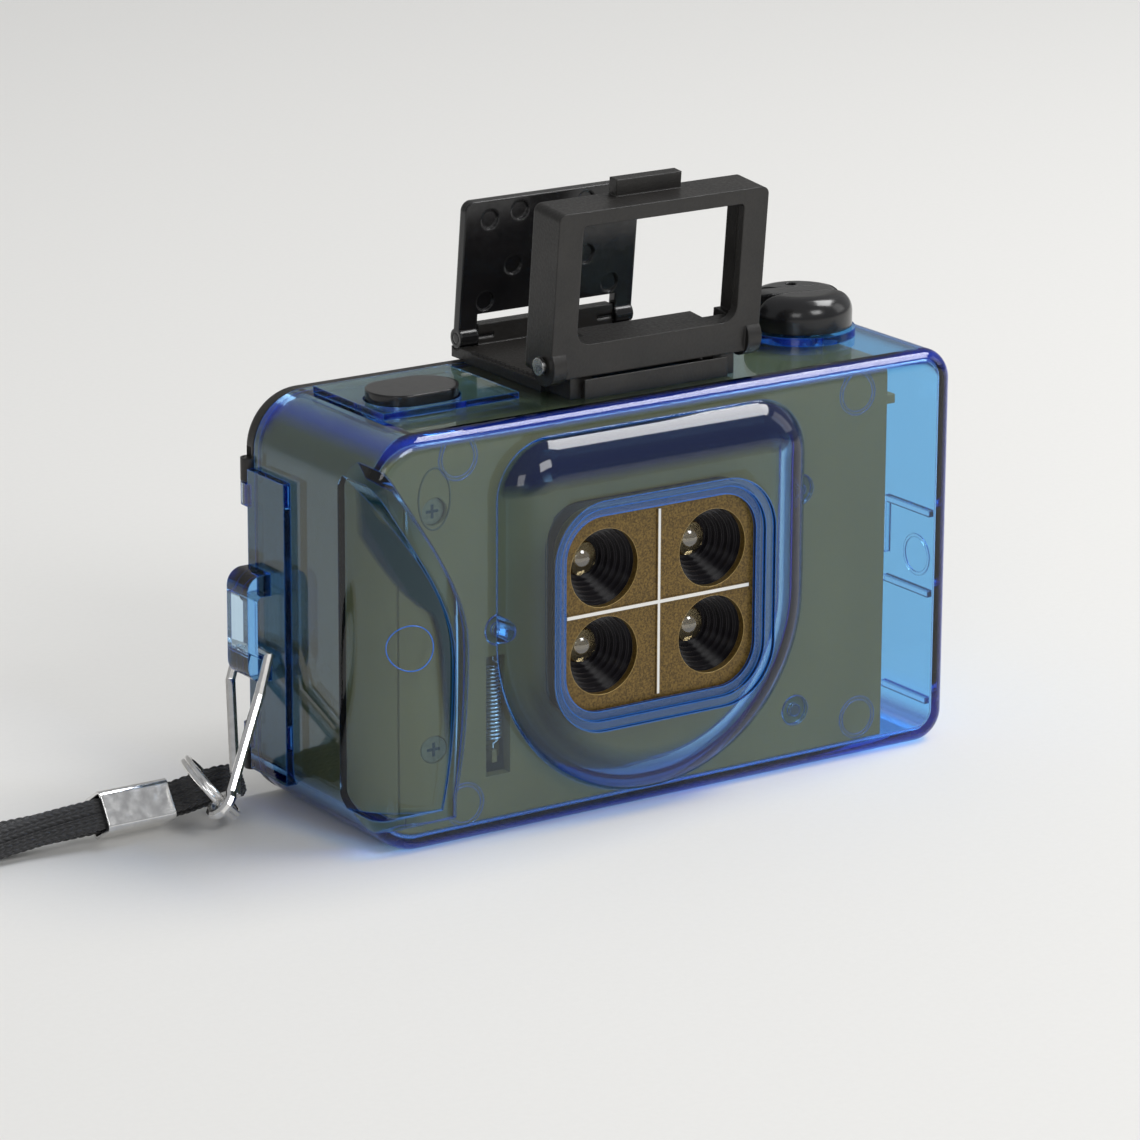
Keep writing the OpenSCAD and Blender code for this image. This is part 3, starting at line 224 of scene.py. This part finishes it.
# moulded plastics: fine grain, faint cloudy tone, rounded edges
plastics = {
    "satinBlack": {
        "dark": (0.009, 0.008, 0.007), "pale": (0.017, 0.015, 0.013), "rough": (0.34, 0.50),
        "cloud": 160, "grain": 2200, "bump": 0.42, "depth": 0.00008, "edge": 0.00035,
        "on": ("finder_base", "finder_hood", "back_door", "door_latch", "advance_wheel")},
    "glossBlack": {
        "dark": (0.006, 0.006, 0.007), "pale": (0.014, 0.013, 0.013), "rough": (0.10, 0.20),
        "cloud": 130, "grain": 900, "bump": 0.04, "depth": 0.00004, "edge": 0.0005,
        "on": ("finder_eye_plate", "eye_plate_pin", "shutter_button")},
    "knobBlack": {
        "dark": (0.007, 0.007, 0.008), "pale": (0.015, 0.014, 0.014), "rough": (0.15, 0.21),
        "cloud": 130, "grain": 2600, "bump": 0.03, "depth": 0.00004, "edge": 0.0005,
        "on": ("rewind_knob", "crank_arm", "crank_grip")},
    "innerBlack": {
        "dark": (0.007, 0.006, 0.008), "pale": (0.014, 0.012, 0.015), "rough": (0.14, 0.18),
        "cloud": 200, "grain": 600, "bump": 0.01, "depth": 0.00002, "edge": 0.00012,
        "on": ("lens_block", "shutter_disc", "takeup_spool", "film_sprocket", "pressure_plate")},
    "framePlastic": {
        "dark": (0.236, 0.127, 0.024), "pale": (0.271, 0.148, 0.031), "rough": (0.50, 0.62),
        "cloud": 60, "grain": 1500, "bump": 0.015, "depth": 0.00004, "edge": 0.0003,
        "on": ("mechanism_plate", "film_box", "release_slide")},
    "linePaint": {
        "dark": (0.72, 0.71, 0.67), "pale": (0.82, 0.81, 0.78), "rough": (0.45, 0.60),
        "cloud": 300, "grain": 4000, "bump": 0.05, "depth": 0.00003, "edge": 0.0001,
        "on": ("frame_counter",)},
}
grainDetail = 2.0


def mouldedPlastic(name, p):
    mat, tree, skin, place = newFinish(name)
    cloud = noiseAt(tree, place, p["cloud"])
    grain = noiseAt(tree, place, p["grain"], grainDetail)
    tree.links.new(tintBetween(tree, cloud, p["dark"], p["pale"]), skin.inputs["Base Color"])
    tree.links.new(rangeOf(tree, grain, *p["rough"]), skin.inputs["Roughness"])
    softEdge(tree, skin, grain, p)
    dress(mat, *p["on"])


for key, settings in plastics.items():
    mouldedPlastic(key, settings)
print("plastics dressed:", len(plastics))

# see-through shell: clear walls that deepen to blue where light runs along them, with painted shade on the
# rims, the grip shoulder and the lens housing, and painted highlight lines on sharp edges
# places are metres on the shell, turns are parts of its normal
shellLook = {
    "surface": (0.95, 0.98, 0.99),
    "endWall": (0.45, 0.80, 0.95),     # the deeper end wall beside the film chamber
    "endFrom": (0.0500, 0.0506),
    "shade": (0.08, 0.60, 0.95),       # what a thick wall lets through
    "density": 240.0,
    "ior": 1.49,
    "rough": (0.015, 0.06),
    "smear": (55, 4.0),                # scale and detail of the faint smears
    "smearFrom": (0.45, 0.75),
    "shadow": (0.80, 0.90, 0.98),
    "paintedRimShade": (0.010, 0.045, 0.50),   # painted shade: deep blue painted on rounded rims, where light runs along the wall
    "rimTurn": (0.985, 0.80),          # from flat to fully round
    "rimMost": 0.55,
    "rimLow": (0.0035, 0.0008),
    "rimHigh": (0.0595, 0.0622),
    "rimRight": (0.0490, 0.0515),
    "rimBack": (0.0125, 0.0150),
    "ribbonPaintedShade": (0.003, 0.026, 0.036),   # painted shade: a dark band painted along the curved shoulder of the grip
    "ribbonMost": 0.92,
    "ribbonLeft": ((0.0120, -0.0393), (0.0230, -0.0398), (0.0350, -0.0416), (0.0375, -0.0439),
        (0.0400, -0.0460), (0.0460, -0.0491), (0.0525, -0.0511)),   # height, place across
    "ribbonRight": ((0.0120, -0.0391), (0.0230, -0.0383), (0.0350, -0.0394), (0.0400, -0.0414),
        (0.0460, -0.0453), (0.0490, -0.0474), (0.0525, -0.0497)),
    "ribbonSide": (-0.0525, -0.0350),  # span of the curves, across and up
    "ribbonTop": 0.063,
    "ribbonSoft": (-0.0002, 0.0004),
    "ribbonFoot": (0.0110, 0.0200),
    "ribbonHead": (0.0562, 0.0540),
    "ribbonFront": (-0.0100, -0.0112),
    "housingPaintedShade": (0.004, 0.010, 0.045), # painted shade: dark navy painted on the flanks of the lens housing
    "browMost": 0.94,                  # the upper flank
    "browTurn": (0.08, 0.30),
    "browFront": (-0.0184, -0.0190),
    "browFoot": (0.0440, 0.0480),
    "flankMost": 0.55,                 # the lower and right flanks, less deep
    "flankTurn": (0.10, 0.45),
    "wellMost": 0.80,                  # the walls of the lens window, painted dark too
    "wellTurn": (-0.75, -0.40),
    "wellSides": ((-0.0242, -0.0239), (0.0166, 0.0163)),
    "wellEnds": ((0.0140, 0.0143), (0.0504, 0.0501)),
    "wellFront": (-0.0186, -0.0190),
    "wellCorner": (0.0340, 0.0335),    # sum of both distances from the middle of the cross
    "linePaintedHighlight": (0.028, 0.185, 0.62),  # painted highlight: bright blue lines painted along sharp edges and the window lip
    "line": 0.0004,                    # width of the lines along sharp edges
    "lineTurn": (0.995, 0.88),
    "lineMost": 0.80,
    "lineLess": 0.55,                  # share that is left behind the lens housing
    "lineFront": (-0.0188, -0.0196),
    "lipMost": 0.30,
    "lipTurn": (-0.70, -0.95),
    "lipNear": (-0.0219, -0.0217),
    "lipFar": (-0.0201, -0.0204),
}


# painted rim shade, where the shell's normal turns, near its bottom, top, right end and back
def paintedRimShare(tree, slope, where, s):
    flat = largest(tree, *[mathOf(tree, "ABSOLUTE", part) for part in slope])
    near = largest(tree, fade(tree, where[2], s["rimLow"]), fade(tree, where[2], s["rimHigh"]),
        fade(tree, where[0], s["rimRight"]), fade(tree, where[1], s["rimBack"]))
    return product(tree, fade(tree, flat, s["rimTurn"], s["rimMost"]), near)


def edgeAtHeight(tree, height, spots, s):
    line = tree.nodes.new("ShaderNodeFloatCurve")
    curve = line.mapping.curves[0]
    low, high = s["ribbonSide"]
    spots = [(z / s["ribbonTop"], (x - low) / (high - low)) for z, x in spots]
    curve.points[0].location = (0, spots[0][1])
    curve.points[1].location = (1, spots[-1][1])
    for spot in spots:
        curve.points.new(*spot)
    line.mapping.update()
    tree.links.new(fade(tree, height, (0, s["ribbonTop"])), line.inputs["Value"])
    return rangeOf(tree, line.outputs[0], low, high, 0, 1)


# the painted shade band along the shoulder of the grip, between its two edges
def ribbonShadeShare(tree, where, s):
    left = edgeAtHeight(tree, where[2], s["ribbonLeft"], s)
    right = edgeAtHeight(tree, where[2], s["ribbonRight"], s)
    return product(tree,
        fade(tree, mathOf(tree, "SUBTRACT", where[0], left), s["ribbonSoft"], s["ribbonMost"]),
        fade(tree, mathOf(tree, "SUBTRACT", right, where[0]), s["ribbonSoft"]),
        fade(tree, where[2], s["ribbonFoot"]), fade(tree, where[2], s["ribbonHead"]),
        fade(tree, where[1], s["ribbonFront"]))


# painted shade on the upper flank of the lens housing
def browShadeShare(tree, slope, where, s):
    return product(tree, fade(tree, slope[2], s["browTurn"], s["browMost"]),
        fade(tree, where[1], s["browFront"]), fade(tree, where[2], s["browFoot"]))


def flankShadeShare(tree, slope, where, s):
    right = fade(tree, slope[0], s["flankTurn"], s["flankMost"])
    below = fade(tree, slope[2], [-turn for turn in s["flankTurn"]], s["flankMost"])
    return product(tree, largest(tree, right, below), fade(tree, where[1], s["browFront"]))


# inside the outline of the lens window, with its corners cut
def windowShare(tree, where, s):
    limits = [fade(tree, where[0], side) for side in s["wellSides"]]
    limits += [fade(tree, where[2], end) for end in s["wellEnds"]]
    away = [mathOf(tree, "ABSOLUTE", mathOf(tree, "SUBTRACT", where[axis], middleOf("cross_strips", axis)))
        for axis in (0, 2)]
    return product(tree, *limits, fade(tree, mathOf(tree, "ADD", *away), s["wellCorner"]))


def wellShadeShare(tree, slope, where, s):
    return product(tree, fade(tree, slope[1], s["wellTurn"], s["wellMost"]),
        fade(tree, where[1], s["wellFront"]), windowShare(tree, where, s))


# painted highlight on the front-facing steps of the window lip
def lipHighlightShare(tree, slope, where, s):
    return product(tree, fade(tree, slope[1], s["lipTurn"], s["lipMost"]),
        fade(tree, where[1], s["lipNear"]), fade(tree, where[1], s["lipFar"]),
        windowShare(tree, where, s))


def lineHighlightShare(tree, where, s):
    return product(tree, edgeShare(tree, s["line"], s["lineTurn"], s["lineMost"]),
        rangeOf(tree, where[1], s["lineLess"], 1, *s["lineFront"]))


def mixLooks(tree, share, under, over):
    both = tree.nodes.new("ShaderNodeMixShader")
    for socket, source in zip(both.inputs, (share, under, over)):
        tree.links.new(source, socket)
    return both.outputs[0]


def clearShell(s):
    mat, tree, skin, place = newFinish("clearBlue")
    out = skin.outputs[0].links[0].to_node
    slope = partsOf(tree, tree.nodes.new("ShaderNodeNewGeometry").outputs["Normal"])
    where = partsOf(tree, place)
    wall = tintBetween(tree, fade(tree, where[0], s["endFrom"]), s["surface"], s["endWall"], 0, 1)
    tree.links.new(wall, skin.inputs["Base Color"])
    setSockets(skin, {"Transmission Weight": 1, "IOR": s["ior"]})
    smear = noiseAt(tree, place, *s["smear"])
    tree.links.new(rangeOf(tree, smear, *s["rough"], *s["smearFrom"]), skin.inputs["Roughness"])
    soak = setSockets(tree.nodes.new("ShaderNodeVolumeAbsorption"),
        {"Color": (*s["shade"], 1), "Density": s["density"]})
    tree.links.new(soak.outputs[0], out.inputs["Volume"])
    # painted shade on the flanks of the lens housing and the walls of its window
    deep = largest(tree, browShadeShare(tree, slope, where, s), wellShadeShare(tree, slope, where, s),
        flankShadeShare(tree, slope, where, s))
    # painted highlight lines along sharp edges and on the window lip
    lines = largest(tree, lineHighlightShare(tree, where, s), lipHighlightShare(tree, slope, where, s))
    look = skin.outputs[0]
    # lay the painted rim shade, shoulder shade, housing shade and highlight lines over the clear wall
    for tint, share in (("paintedRimShade", paintedRimShare(tree, slope, where, s)),
            ("ribbonPaintedShade", ribbonShadeShare(tree, where, s)), ("housingPaintedShade", deep), ("linePaintedHighlight", lines)):
        coat = setSockets(tree.nodes.new("ShaderNodeBsdfPrincipled"),
            {"Base Color": (*s[tint], 1), "Roughness": s["rough"][1], "IOR": s["ior"]})
        look = mixLooks(tree, share, look, coat.outputs[0])
    rays = tree.nodes.new("ShaderNodeLightPath")
    gap = setSockets(tree.nodes.new("ShaderNodeBsdfTransparent"), {"Color": (*s["shadow"], 1)})
    look = mixLooks(tree, rays.outputs["Is Shadow Ray"], look, gap.outputs[0])
    tree.links.new(look, out.inputs["Surface"])
    dress(mat, "front_shell")


clearShell(shellLook)

# lenses with a bright coat and a little dust
lensLook = {
    "tint": (0.62, 0.50, 0.28), "ior": 1.52, "coat": 2.0, "rough": (0.0, 0.03),
    "dust": (2200, 4.0), "dustFrom": (0.66, 0.8),
}


def lensGlass(s):
    mat, tree, skin, place = newFinish("lensGlass")
    setSockets(skin, {"Base Color": (*s["tint"], 1), "Transmission Weight": 1, "IOR": s["ior"],
        "Coat Weight": 1, "Coat IOR": s["coat"], "Coat Roughness": s["rough"][0]})
    dust = noiseAt(tree, place, *s["dust"])
    tree.links.new(rangeOf(tree, dust, *s["rough"], *s["dustFrom"]), skin.inputs["Roughness"])
    dress(mat, "lenses")


lensGlass(lensLook)

# bronze paint with fine specks on the lens plate, and a painted highlight along its sharp edges
bronzeLook = {
    "dark": (0.066, 0.038, 0.007), "pale": (0.230, 0.142, 0.032),
    "speck": (3300, 2.0, 0.7), "speckFrom": (0.35, 0.72), "rough": (0.30, 0.48), "metal": 0.35,
    "paintedHighlight": (0.62, 0.44, 0.16), "highlightWidth": 0.00016, "highlightTurn": (0.995, 0.86),
    "edge": 0.00015, "bump": 0.12, "depth": 0.00004,
}
# the pale cross keeps a thin bronze margin along its strips
crossLook = {
    "line": (0.80, 0.79, 0.75), "half": (0.00021, 0.00026),   # upright strip, level strip
    "edge": 0.0001, "bump": 0.05, "depth": 0.00003,
}


def mixTint(tree, share, under, over):
    both = tree.nodes.new("ShaderNodeMix")
    both.data_type = "RGBA"
    tree.links.new(share, both.inputs[0])
    tree.links.new(under, both.inputs[6])         # 6 and 7 are its colour sockets
    both.inputs[7].default_value = (*over, 1)
    return both.outputs[2]


def speckedBronze(tree, skin, place, s):
    speck = noiseAt(tree, place, *s["speck"])
    tree.links.new(rangeOf(tree, speck, *s["rough"]), skin.inputs["Roughness"])
    return speck, tintBetween(tree, speck, s["dark"], s["pale"], *s["speckFrom"])


def bronzePaint(s):
    mat, tree, skin, place = newFinish("bronzePaint")
    speck, paint = speckedBronze(tree, skin, place, s)
    # painted highlight: pale gold along the sharp edges of the plate
    highlightEdges = edgeShare(tree, s["highlightWidth"], s["highlightTurn"])
    tree.links.new(mixTint(tree, highlightEdges, paint, s["paintedHighlight"]), skin.inputs["Base Color"])
    setSockets(skin, {"Metallic": s["metal"]})
    softEdge(tree, skin, speck, s)
    dress(mat, "lens_plate")


def crossPaint(s, bronze):
    mat, tree, skin, place = newFinish("crossPaint")
    speck, paint = speckedBronze(tree, skin, place, bronze)
    where = partsOf(tree, place)
    bands = [mathOf(tree, "COMPARE", where[axis], middleOf("cross_strips", axis), half)
        for axis, half in zip((0, 2), s["half"])]
    tree.links.new(mixTint(tree, largest(tree, *bands), paint, s["line"]), skin.inputs["Base Color"])
    softEdge(tree, skin, speck, s)
    dress(mat, "cross_strips")


bronzePaint(bronzeLook)
crossPaint(crossLook, bronzeLook)

# bright wire, crimped ferrule and plain steel
metals = {
    "brightNickel": {
        "dark": (0.74, 0.73, 0.72), "pale": (0.90, 0.89, 0.87), "rough": (0.07, 0.20), "fine": 700,
        "on": ("strap_hook", "split_ring", "strap_ferrule")},
    "plainSteel": {
        "dark": (0.42, 0.42, 0.42), "pale": (0.58, 0.58, 0.57), "rough": (0.18, 0.36), "fine": 1300,
        "on": ("hood_pin", "crank_pin", "rewind_shaft", "rewind_washer", "pressure_spring")},
    "darkSteel": {
        "dark": (0.070, 0.066, 0.060), "pale": (0.120, 0.114, 0.104), "rough": (0.30, 0.48),
        "fine": 1500, "on": ("shell_screws", "door_hinge_pins")},
    "brownSteel": {
        "dark": (0.200, 0.150, 0.080), "pale": (0.300, 0.235, 0.130), "rough": (0.30, 0.45),
        "fine": 1500, "on": ("frame_screws",)},
}
plating = {"detail": 5.0, "edge": 0.0002, "bump": 0.03, "depth": 0.00005}


def platedMetal(name, p):
    mat, tree, skin, place = newFinish(name)
    wear = noiseAt(tree, place, p["fine"], plating["detail"])
    tree.links.new(tintBetween(tree, wear, p["dark"], p["pale"]), skin.inputs["Base Color"])
    tree.links.new(rangeOf(tree, wear, *p["rough"]), skin.inputs["Roughness"])
    setSockets(skin, {"Metallic": 1})
    softEdge(tree, skin, wear, plating)
    dress(mat, *p["on"])


for key, settings in metals.items():
    platedMetal(key, settings)
print("glass, paint and metals dressed")

# wrist strap: one flat braid along the CAD route, with its yarns as relief
strap = {
    "width": 0.0048,
    "thick": 0.0020,
    "relief": 0.00034,
    "rows": 18,           # lanes of slanted stitches round the braid
    "pitch": 0.00125,     # length of one stitch
    "slant": 0.9,
    "around": 144,
    "fine": 44,           # rings between two route points
    "outline": 1440,      # steps that the even points of the section are picked from
    "bend": (0.40, 0.60), # how square the section is, across and through
    "exit": (-0.0625, 0.010, 0.0064),
    "dark": (0.012, 0.012, 0.013),
    "pale": (0.040, 0.039, 0.040),
    "fuzz": (3800, 3.0, 0.7),
    "rough": (0.45, 0.75),
    "sheen": (0.35, 0.4),
    "bump": 0.35,
    "depth": 0.00008,
}
# millimetres, and the tilt of the flat side in degrees
strapRoute = [(-76.2, 10.5, 5, 57), (-84, 10.6, 4.8, 60), (-93, 11.4, 3.9, 75), (-104, 10.6, 2.9, 88),
    (-116, 6, 2.6, 90), (-130, 1, 2.6, 90), (-146, -1, 2.6, 90), (-160, 3, 2.6, 90),
    (-168, 13, 2.6, 90), (-161, 24, 2.6, 90), (-147, 29, 2.6, 90), (-131, 28, 2.6, 90),
    (-117, 22, 2.6, 90), (-104, 15.8, 2.6, 88), (-93, 13.8, 3.1, 75), (-84, 12.6, 3.6, 60),
    (-76, 12.3, 3.8, 57), (-71, 12.4, 3.8, 57), (-66.5, 13.8, 3.4, 57), (-62.5, 14.9, 3.4, 57),
    (-59.4, 14.6, 3.7, 57), (-57.6, 12.6, 4.8, 57), (-59.4, 10.6, 6, 57), (-62.5, 10, 6.4, 57),
    (-66.5, 10.1, 5.9, 57), (-71, 10.5, 5.1, 57), (-75.4, 10.5, 5, 57)]


def smoothRoute(route, fine):
    rows = [Vector((x / 1000, y / 1000, z / 1000, tilt)) for x, y, z, tilt in route]
    last = len(rows) - 1
    made = []
    for i in range(last):
        a, b, c, d = rows[max(i - 1, 0)], rows[i], rows[i + 1], rows[min(i + 2, last)]
        for k in range(fine):
            t = k / fine
            made.append(0.5 * (2 * b + (c - a) * t + (2 * a - 5 * b + 4 * c - d) * t * t
                + (3 * b - a - 3 * c + d) * t ** 3))
    made.append(rows[last])
    return [(p.to_3d(), p[3]) for p in made]


stitchLeast = 1e-6    # keeps the valleys between stitches soft


def stitchHeight(row, along, slant):
    lane = math.floor(row)
    t = row - lane
    lean = t if lane % 2 else 1 - t
    wave = abs(math.sin(math.pi * (along + lean * slant)))
    return math.sqrt(max(math.sin(math.pi * t) * wave, 0) + stitchLeast)


# points of the flat section at even steps, each with its outward direction
def braidSection(s):
    fine = s["outline"]
    half = (s["width"] / 2 - s["relief"], s["thick"] / 2 - s["relief"])
    ring = []
    for k in range(fine):
        turn = math.tau * k / fine
        c, d = math.cos(turn), math.sin(turn)
        ring.append(Vector((math.copysign(abs(c) ** s["bend"][0], c) * half[0],
            math.copysign(abs(d) ** s["bend"][1], d) * half[1])))
    steps = [(ring[(k + 1) % fine] - ring[k]).length for k in range(fine)]
    total, run, k = sum(steps), 0.0, 0
    even = []
    for j in range(s["around"]):
        while run + steps[k] < total * j / s["around"]:
            run += steps[k]
            k += 1
        even.append(ring[k])
    made = []
    for j, p in enumerate(even):
        along = even[(j + 1) % len(even)] - even[j - 1]
        made.append((p, Vector((along.y, -along.x)).normalized()))
    return made


def tubeFaces(rings, sides, closed=False):
    total = rings * sides
    faces = []
    for i in range(rings if closed else rings - 1):
        for k in range(sides):
            a, b = i * sides + k, i * sides + (k + 1) % sides
            faces.append((a, b, (b + sides) % total, (a + sides) % total))
    if not closed:
        faces.append(tuple(range(sides - 1, -1, -1)))
        faces.append(tuple(range(total - sides, total)))
    return faces


def makeBraid(s):
    line = smoothRoute(strapRoute, s["fine"])
    section = braidSection(s)
    pts = [p for p, tilt in line]
    run, total = [0.0], 0.0
    for p, q in zip(pts, pts[1:]):
        total += (q - p).length
        run.append(total)
    verts = []
    last = len(pts) - 1
    for i, (p, tilt) in enumerate(line):
        ahead = (pts[min(i + 1, last)] - pts[max(i - 1, 0)]).normalized()
        across = Vector((0, math.cos(math.radians(tilt)), math.sin(math.radians(tilt))))
        flat = ahead.cross(across).normalized()
        wide = flat.cross(ahead)
        for k, (at, out) in enumerate(section):
            row = (k + 0.5) * s["rows"] / s["around"]
            at = at + out * (stitchHeight(row, run[i] / s["pitch"], s["slant"]) * s["relief"])
            verts.append(p + wide * at.x + flat * at.y)
    piece = newPiece("braidedStrap", verts, tubeFaces(len(pts), s["around"]), "braidYarn")
    print("braid length", round(total, 4))
    return piece, pts, total


def braidYarn(s):
    tree, skin, place = newFinish("braidYarn")[1:]
    fuzz = noiseAt(tree, place, *s["fuzz"])
    tree.links.new(tintBetween(tree, fuzz, s["dark"], s["pale"]), skin.inputs["Base Color"])
    tree.links.new(rangeOf(tree, fuzz, *s["rough"]), skin.inputs["Roughness"])
    setSockets(skin, {"Sheen Weight": s["sheen"][0], "Sheen Roughness": s["sheen"][1]})
    bumpOn(tree, skin, fuzz, s["bump"], s["depth"])


braidYarn(strap)
braid, braidPts, braidLength = makeBraid(strap)
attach(braid, "camera")
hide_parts("wrist_strap")
print("strap made")

# wire coils: a short one under the button and a long one, each wound between its two given heights
coils = {
    "buttonCoil": {"stands": "button_spring", "finish": "plainSteel", "at": (-0.0350, -0.0032),
        "low": 0.0608, "high": 0.06399, "radius": 0.001625, "wire": 0.000225, "turns": 3, "tail": 0.0,
        "keep": 0.49},    # share of its height that is left when pressed
    "returnCoil": {"stands": "return_spring", "finish": "brightNickel", "at": (-0.030185, -0.01446),
        "low": 0.01253, "high": 0.02737, "radius": 0.00125, "wire": 0.00017, "turns": 19,
        "tail": 0.0016},
}
coilSteps, coilSides = 28, 10
tailSteps = 6    # the straight end of a tail takes half of them


def coilLine(c):
    low, high = c["low"] + c["wire"], c["high"] - c["wire"]
    tall = high - low - 2 * c["tail"]
    straight = [c["tail"] * k / tailSteps for k in range(tailSteps // 2 + 1)] if c["tail"] else []
    line = [Vector((0, 0, low + step)) for step in straight]
    points = c["turns"] * coilSteps
    for i in range(points + 1):
        turn = math.tau * i / coilSteps
        line.append(Vector((c["radius"] * math.cos(turn), c["radius"] * math.sin(turn),
            low + c["tail"] + tall * i / points)))
    line += [Vector((0, 0, high - step)) for step in reversed(straight)]
    return [p + Vector((*c["at"], 0)) for p in line]


def makeWire(name, line, thick, finish, closed=False):
    last = len(line) - 1
    verts = []
    side = Vector((0, 1, 0))
    for i, p in enumerate(line):
        ahead = line[(i + 1) % len(line)] if closed else line[min(i + 1, last)]
        behind = line[i - 1] if closed else line[max(i - 1, 0)]
        along = (ahead - behind).normalized()
        side = (side - along * side.dot(along)).normalized()
        other = along.cross(side)
        for k in range(coilSides):
            turn = math.tau * k / coilSides
            verts.append(p + (side * math.cos(turn) + other * math.sin(turn)) * thick)
    return newPiece(name, verts, tubeFaces(len(line), coilSides, closed), finish)


def makeCoil(name, c):
    piece = makeWire(name, coilLine(c), c["wire"], c["finish"])
    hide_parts(c["stands"])
    return piece


pressed, stretched = coils["buttonCoil"], coils["returnCoil"]
buttonCoil = makeCoil("buttonCoil", pressed)
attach(buttonCoil, "camera")
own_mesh(buttonCoil)
returnCoil = makeCoil("returnCoil", stretched)
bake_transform(returnCoil)
print("coils made:", len(coils))

# small moulded marks: a ring on the grip, an oval rim of painted shade round a recess on the plate, and
# cross slots in its screws as dark solids that paint the shade of the recess
marks = {
    "gripRing": {"on": "front_shell", "slot": "shell", "at": (-0.0453, 0.0312),
        "half": (0.0032, 0.00345), "wire": 0.00009, "points": 72, "finish": "markBlue",
        "tint": (0.03, 0.13, 0.50), "rough": (0.06, 0.12)},
    "ovalRim": {"on": "mechanism_plate", "slot": "frame_plastic", "at": (-0.0412, 0.0530),
        "half": (0.0027, 0.0046), "wire": 0.00016, "points": 72, "finish": "rimShade",
        "tint": (0.10, 0.055, 0.012), "rough": (0.45, 0.60)},
}
screwSlot = {
    "at": {"lowerCross": (-0.04095, 0.01481), "upperCross": (-0.04121, 0.05103)},
    "reach": 0.00105, "arm": 0.00022, "proud": 0.00005, "deep": 0.0003,
    "finish": "slotDark", "tint": (0.020, 0.015, 0.010), "rough": (0.40, 0.55),
}
markTone = {"noise": (900, 2.0), "lift": 1.5}
castFrom = -0.06    # in front of the whole camera


def markFinish(m):
    tree, skin, place = newFinish(m["finish"])[1:]
    tone = noiseAt(tree, place, *markTone["noise"])
    pale = [v * markTone["lift"] for v in m["tint"]]
    tree.links.new(tintBetween(tree, tone, m["tint"], pale), skin.inputs["Base Color"])
    tree.links.new(rangeOf(tree, tone, *m["rough"]), skin.inputs["Roughness"])


# an oval laid on a node's front, found by rays from the front
def ringOn(c):
    mesh = nodes[c["on"]].data
    surface = BVHTree.FromPolygons([v.co for v in mesh.vertices], [p.vertices for p in mesh.polygons])
    line = []
    for k in range(c["points"]):
        turn = math.tau * k / c["points"]
        start = Vector((c["at"][0] + c["half"][0] * math.cos(turn), castFrom,
            c["at"][1] + c["half"][1] * math.sin(turn)))
        line.append(surface.ray_cast(start, Vector((0, 1, 0)))[0])
    return line


# a dark cross standing in the screw head: painted shade of its cross recess
def screwCross(name, x, z, c):
    r, a = c["reach"], c["arm"]
    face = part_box("frame_screws")[0][1]
    plan = [(-a, -r), (a, -r), (a, -a), (r, -a), (r, a), (a, a),
        (a, r), (-a, r), (-a, a), (-r, a), (-r, -a), (-a, -a)]
    verts = [(x + u, y, z + v) for y in (face - c["proud"], face + c["deep"]) for u, v in plan]
    n = len(plan)
    faces = [tuple(range(n)), tuple(range(2 * n - 1, n - 1, -1))]
    faces += [(k, k + n, (k + 1) % n + n, (k + 1) % n) for k in range(n)]
    return newPiece(name, verts, faces, c["finish"], False)


for name, ring in marks.items():
    markFinish(ring)
    piece = makeWire(name, ringOn(ring), ring["wire"], ring["finish"], True)
    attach(piece, "camera")
markFinish(screwSlot)
for name, at in screwSlot["at"].items():
    piece = screwCross(name, *at, screwSlot)
    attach(piece, "camera")
print("marks made:", len(marks) + len(screwSlot["at"]))

# pale floor that sweeps up behind, soft lamps and a pale sky
studio = {
    "floor": (0.80, 0.79, 0.765), "fleck": 900, "fleckTone": 0.985, "rough": 0.85,
    "near": -2.5, "bend": 1.6, "radius": 0.9, "tall": 2.6, "half": 4.0, "arc": 16,
    "sky": (0.95, 0.97, 1.0), "skyLevel": 0.38,
    "aim": (0, 0, 0.03),
    "lamps": (    # name, place, width, height, watts
        ("overhead", (0.72, -0.13, 1.12), 0.7, 0.5, 11.5),
        ("front", (-1.30, -1.50, 0.90), 0.6, 0.7, 4.0),
        ("key", (0.18, -1.04, 0.76), 0.40, 0.40, 3.6),
        ("side", (1.70, -0.60, 0.80), 0.8, 1.0, 3.0),
    ),
}


def paleCard(s):
    tree, skin, place = newFinish("paleCard")[1:]
    fleck = noiseAt(tree, place, s["fleck"])
    dark = [v * s["fleckTone"] for v in s["floor"]]
    tree.links.new(tintBetween(tree, fleck, dark, s["floor"]), skin.inputs["Base Color"])
    setSockets(skin, {"Roughness": s["rough"]})


def makeFloor(s):
    profile = [(s["near"], 0.0), (s["bend"], 0.0)]
    for k in range(1, s["arc"] + 1):
        turn = math.pi / 2 * k / s["arc"]
        profile.append((s["bend"] + s["radius"] * math.sin(turn), s["radius"] * (1 - math.cos(turn))))
    profile.append((s["bend"] + s["radius"], s["tall"]))
    verts = [(x, y, z) for y, z in profile for x in (-s["half"], s["half"])]
    faces = [(2 * i, 2 * i + 1, 2 * i + 3, 2 * i + 2) for i in range(len(profile) - 1)]
    newPiece("paleFloor", verts, faces, "paleCard")


def makeLamps(s):
    for name, at, wide, tall, power in s["lamps"]:
        data = bpy.data.lights.new(name, "AREA")
        data.shape = "RECTANGLE"
        data.size, data.size_y = wide, tall
        data.energy = power
        lamp = bpy.data.objects.new(name, data)
        lamp.location = at
        lamp.rotation_mode = "QUATERNION"
        lamp.rotation_quaternion = (Vector(s["aim"]) - Vector(at)).to_track_quat("-Z", "Y")
        scene.collection.objects.link(lamp)


def makeSky(s):
    sky = bpy.data.worlds.new("paleSky")
    sky.use_nodes = True
    setSockets(sky.node_tree.nodes["Background"], {"Color": (*s["sky"], 1), "Strength": s["skyLevel"]})
    scene.world = sky


paleCard(studio)
makeFloor(studio)
makeLamps(studio)
makeSky(studio)
print("floor and lamps set")
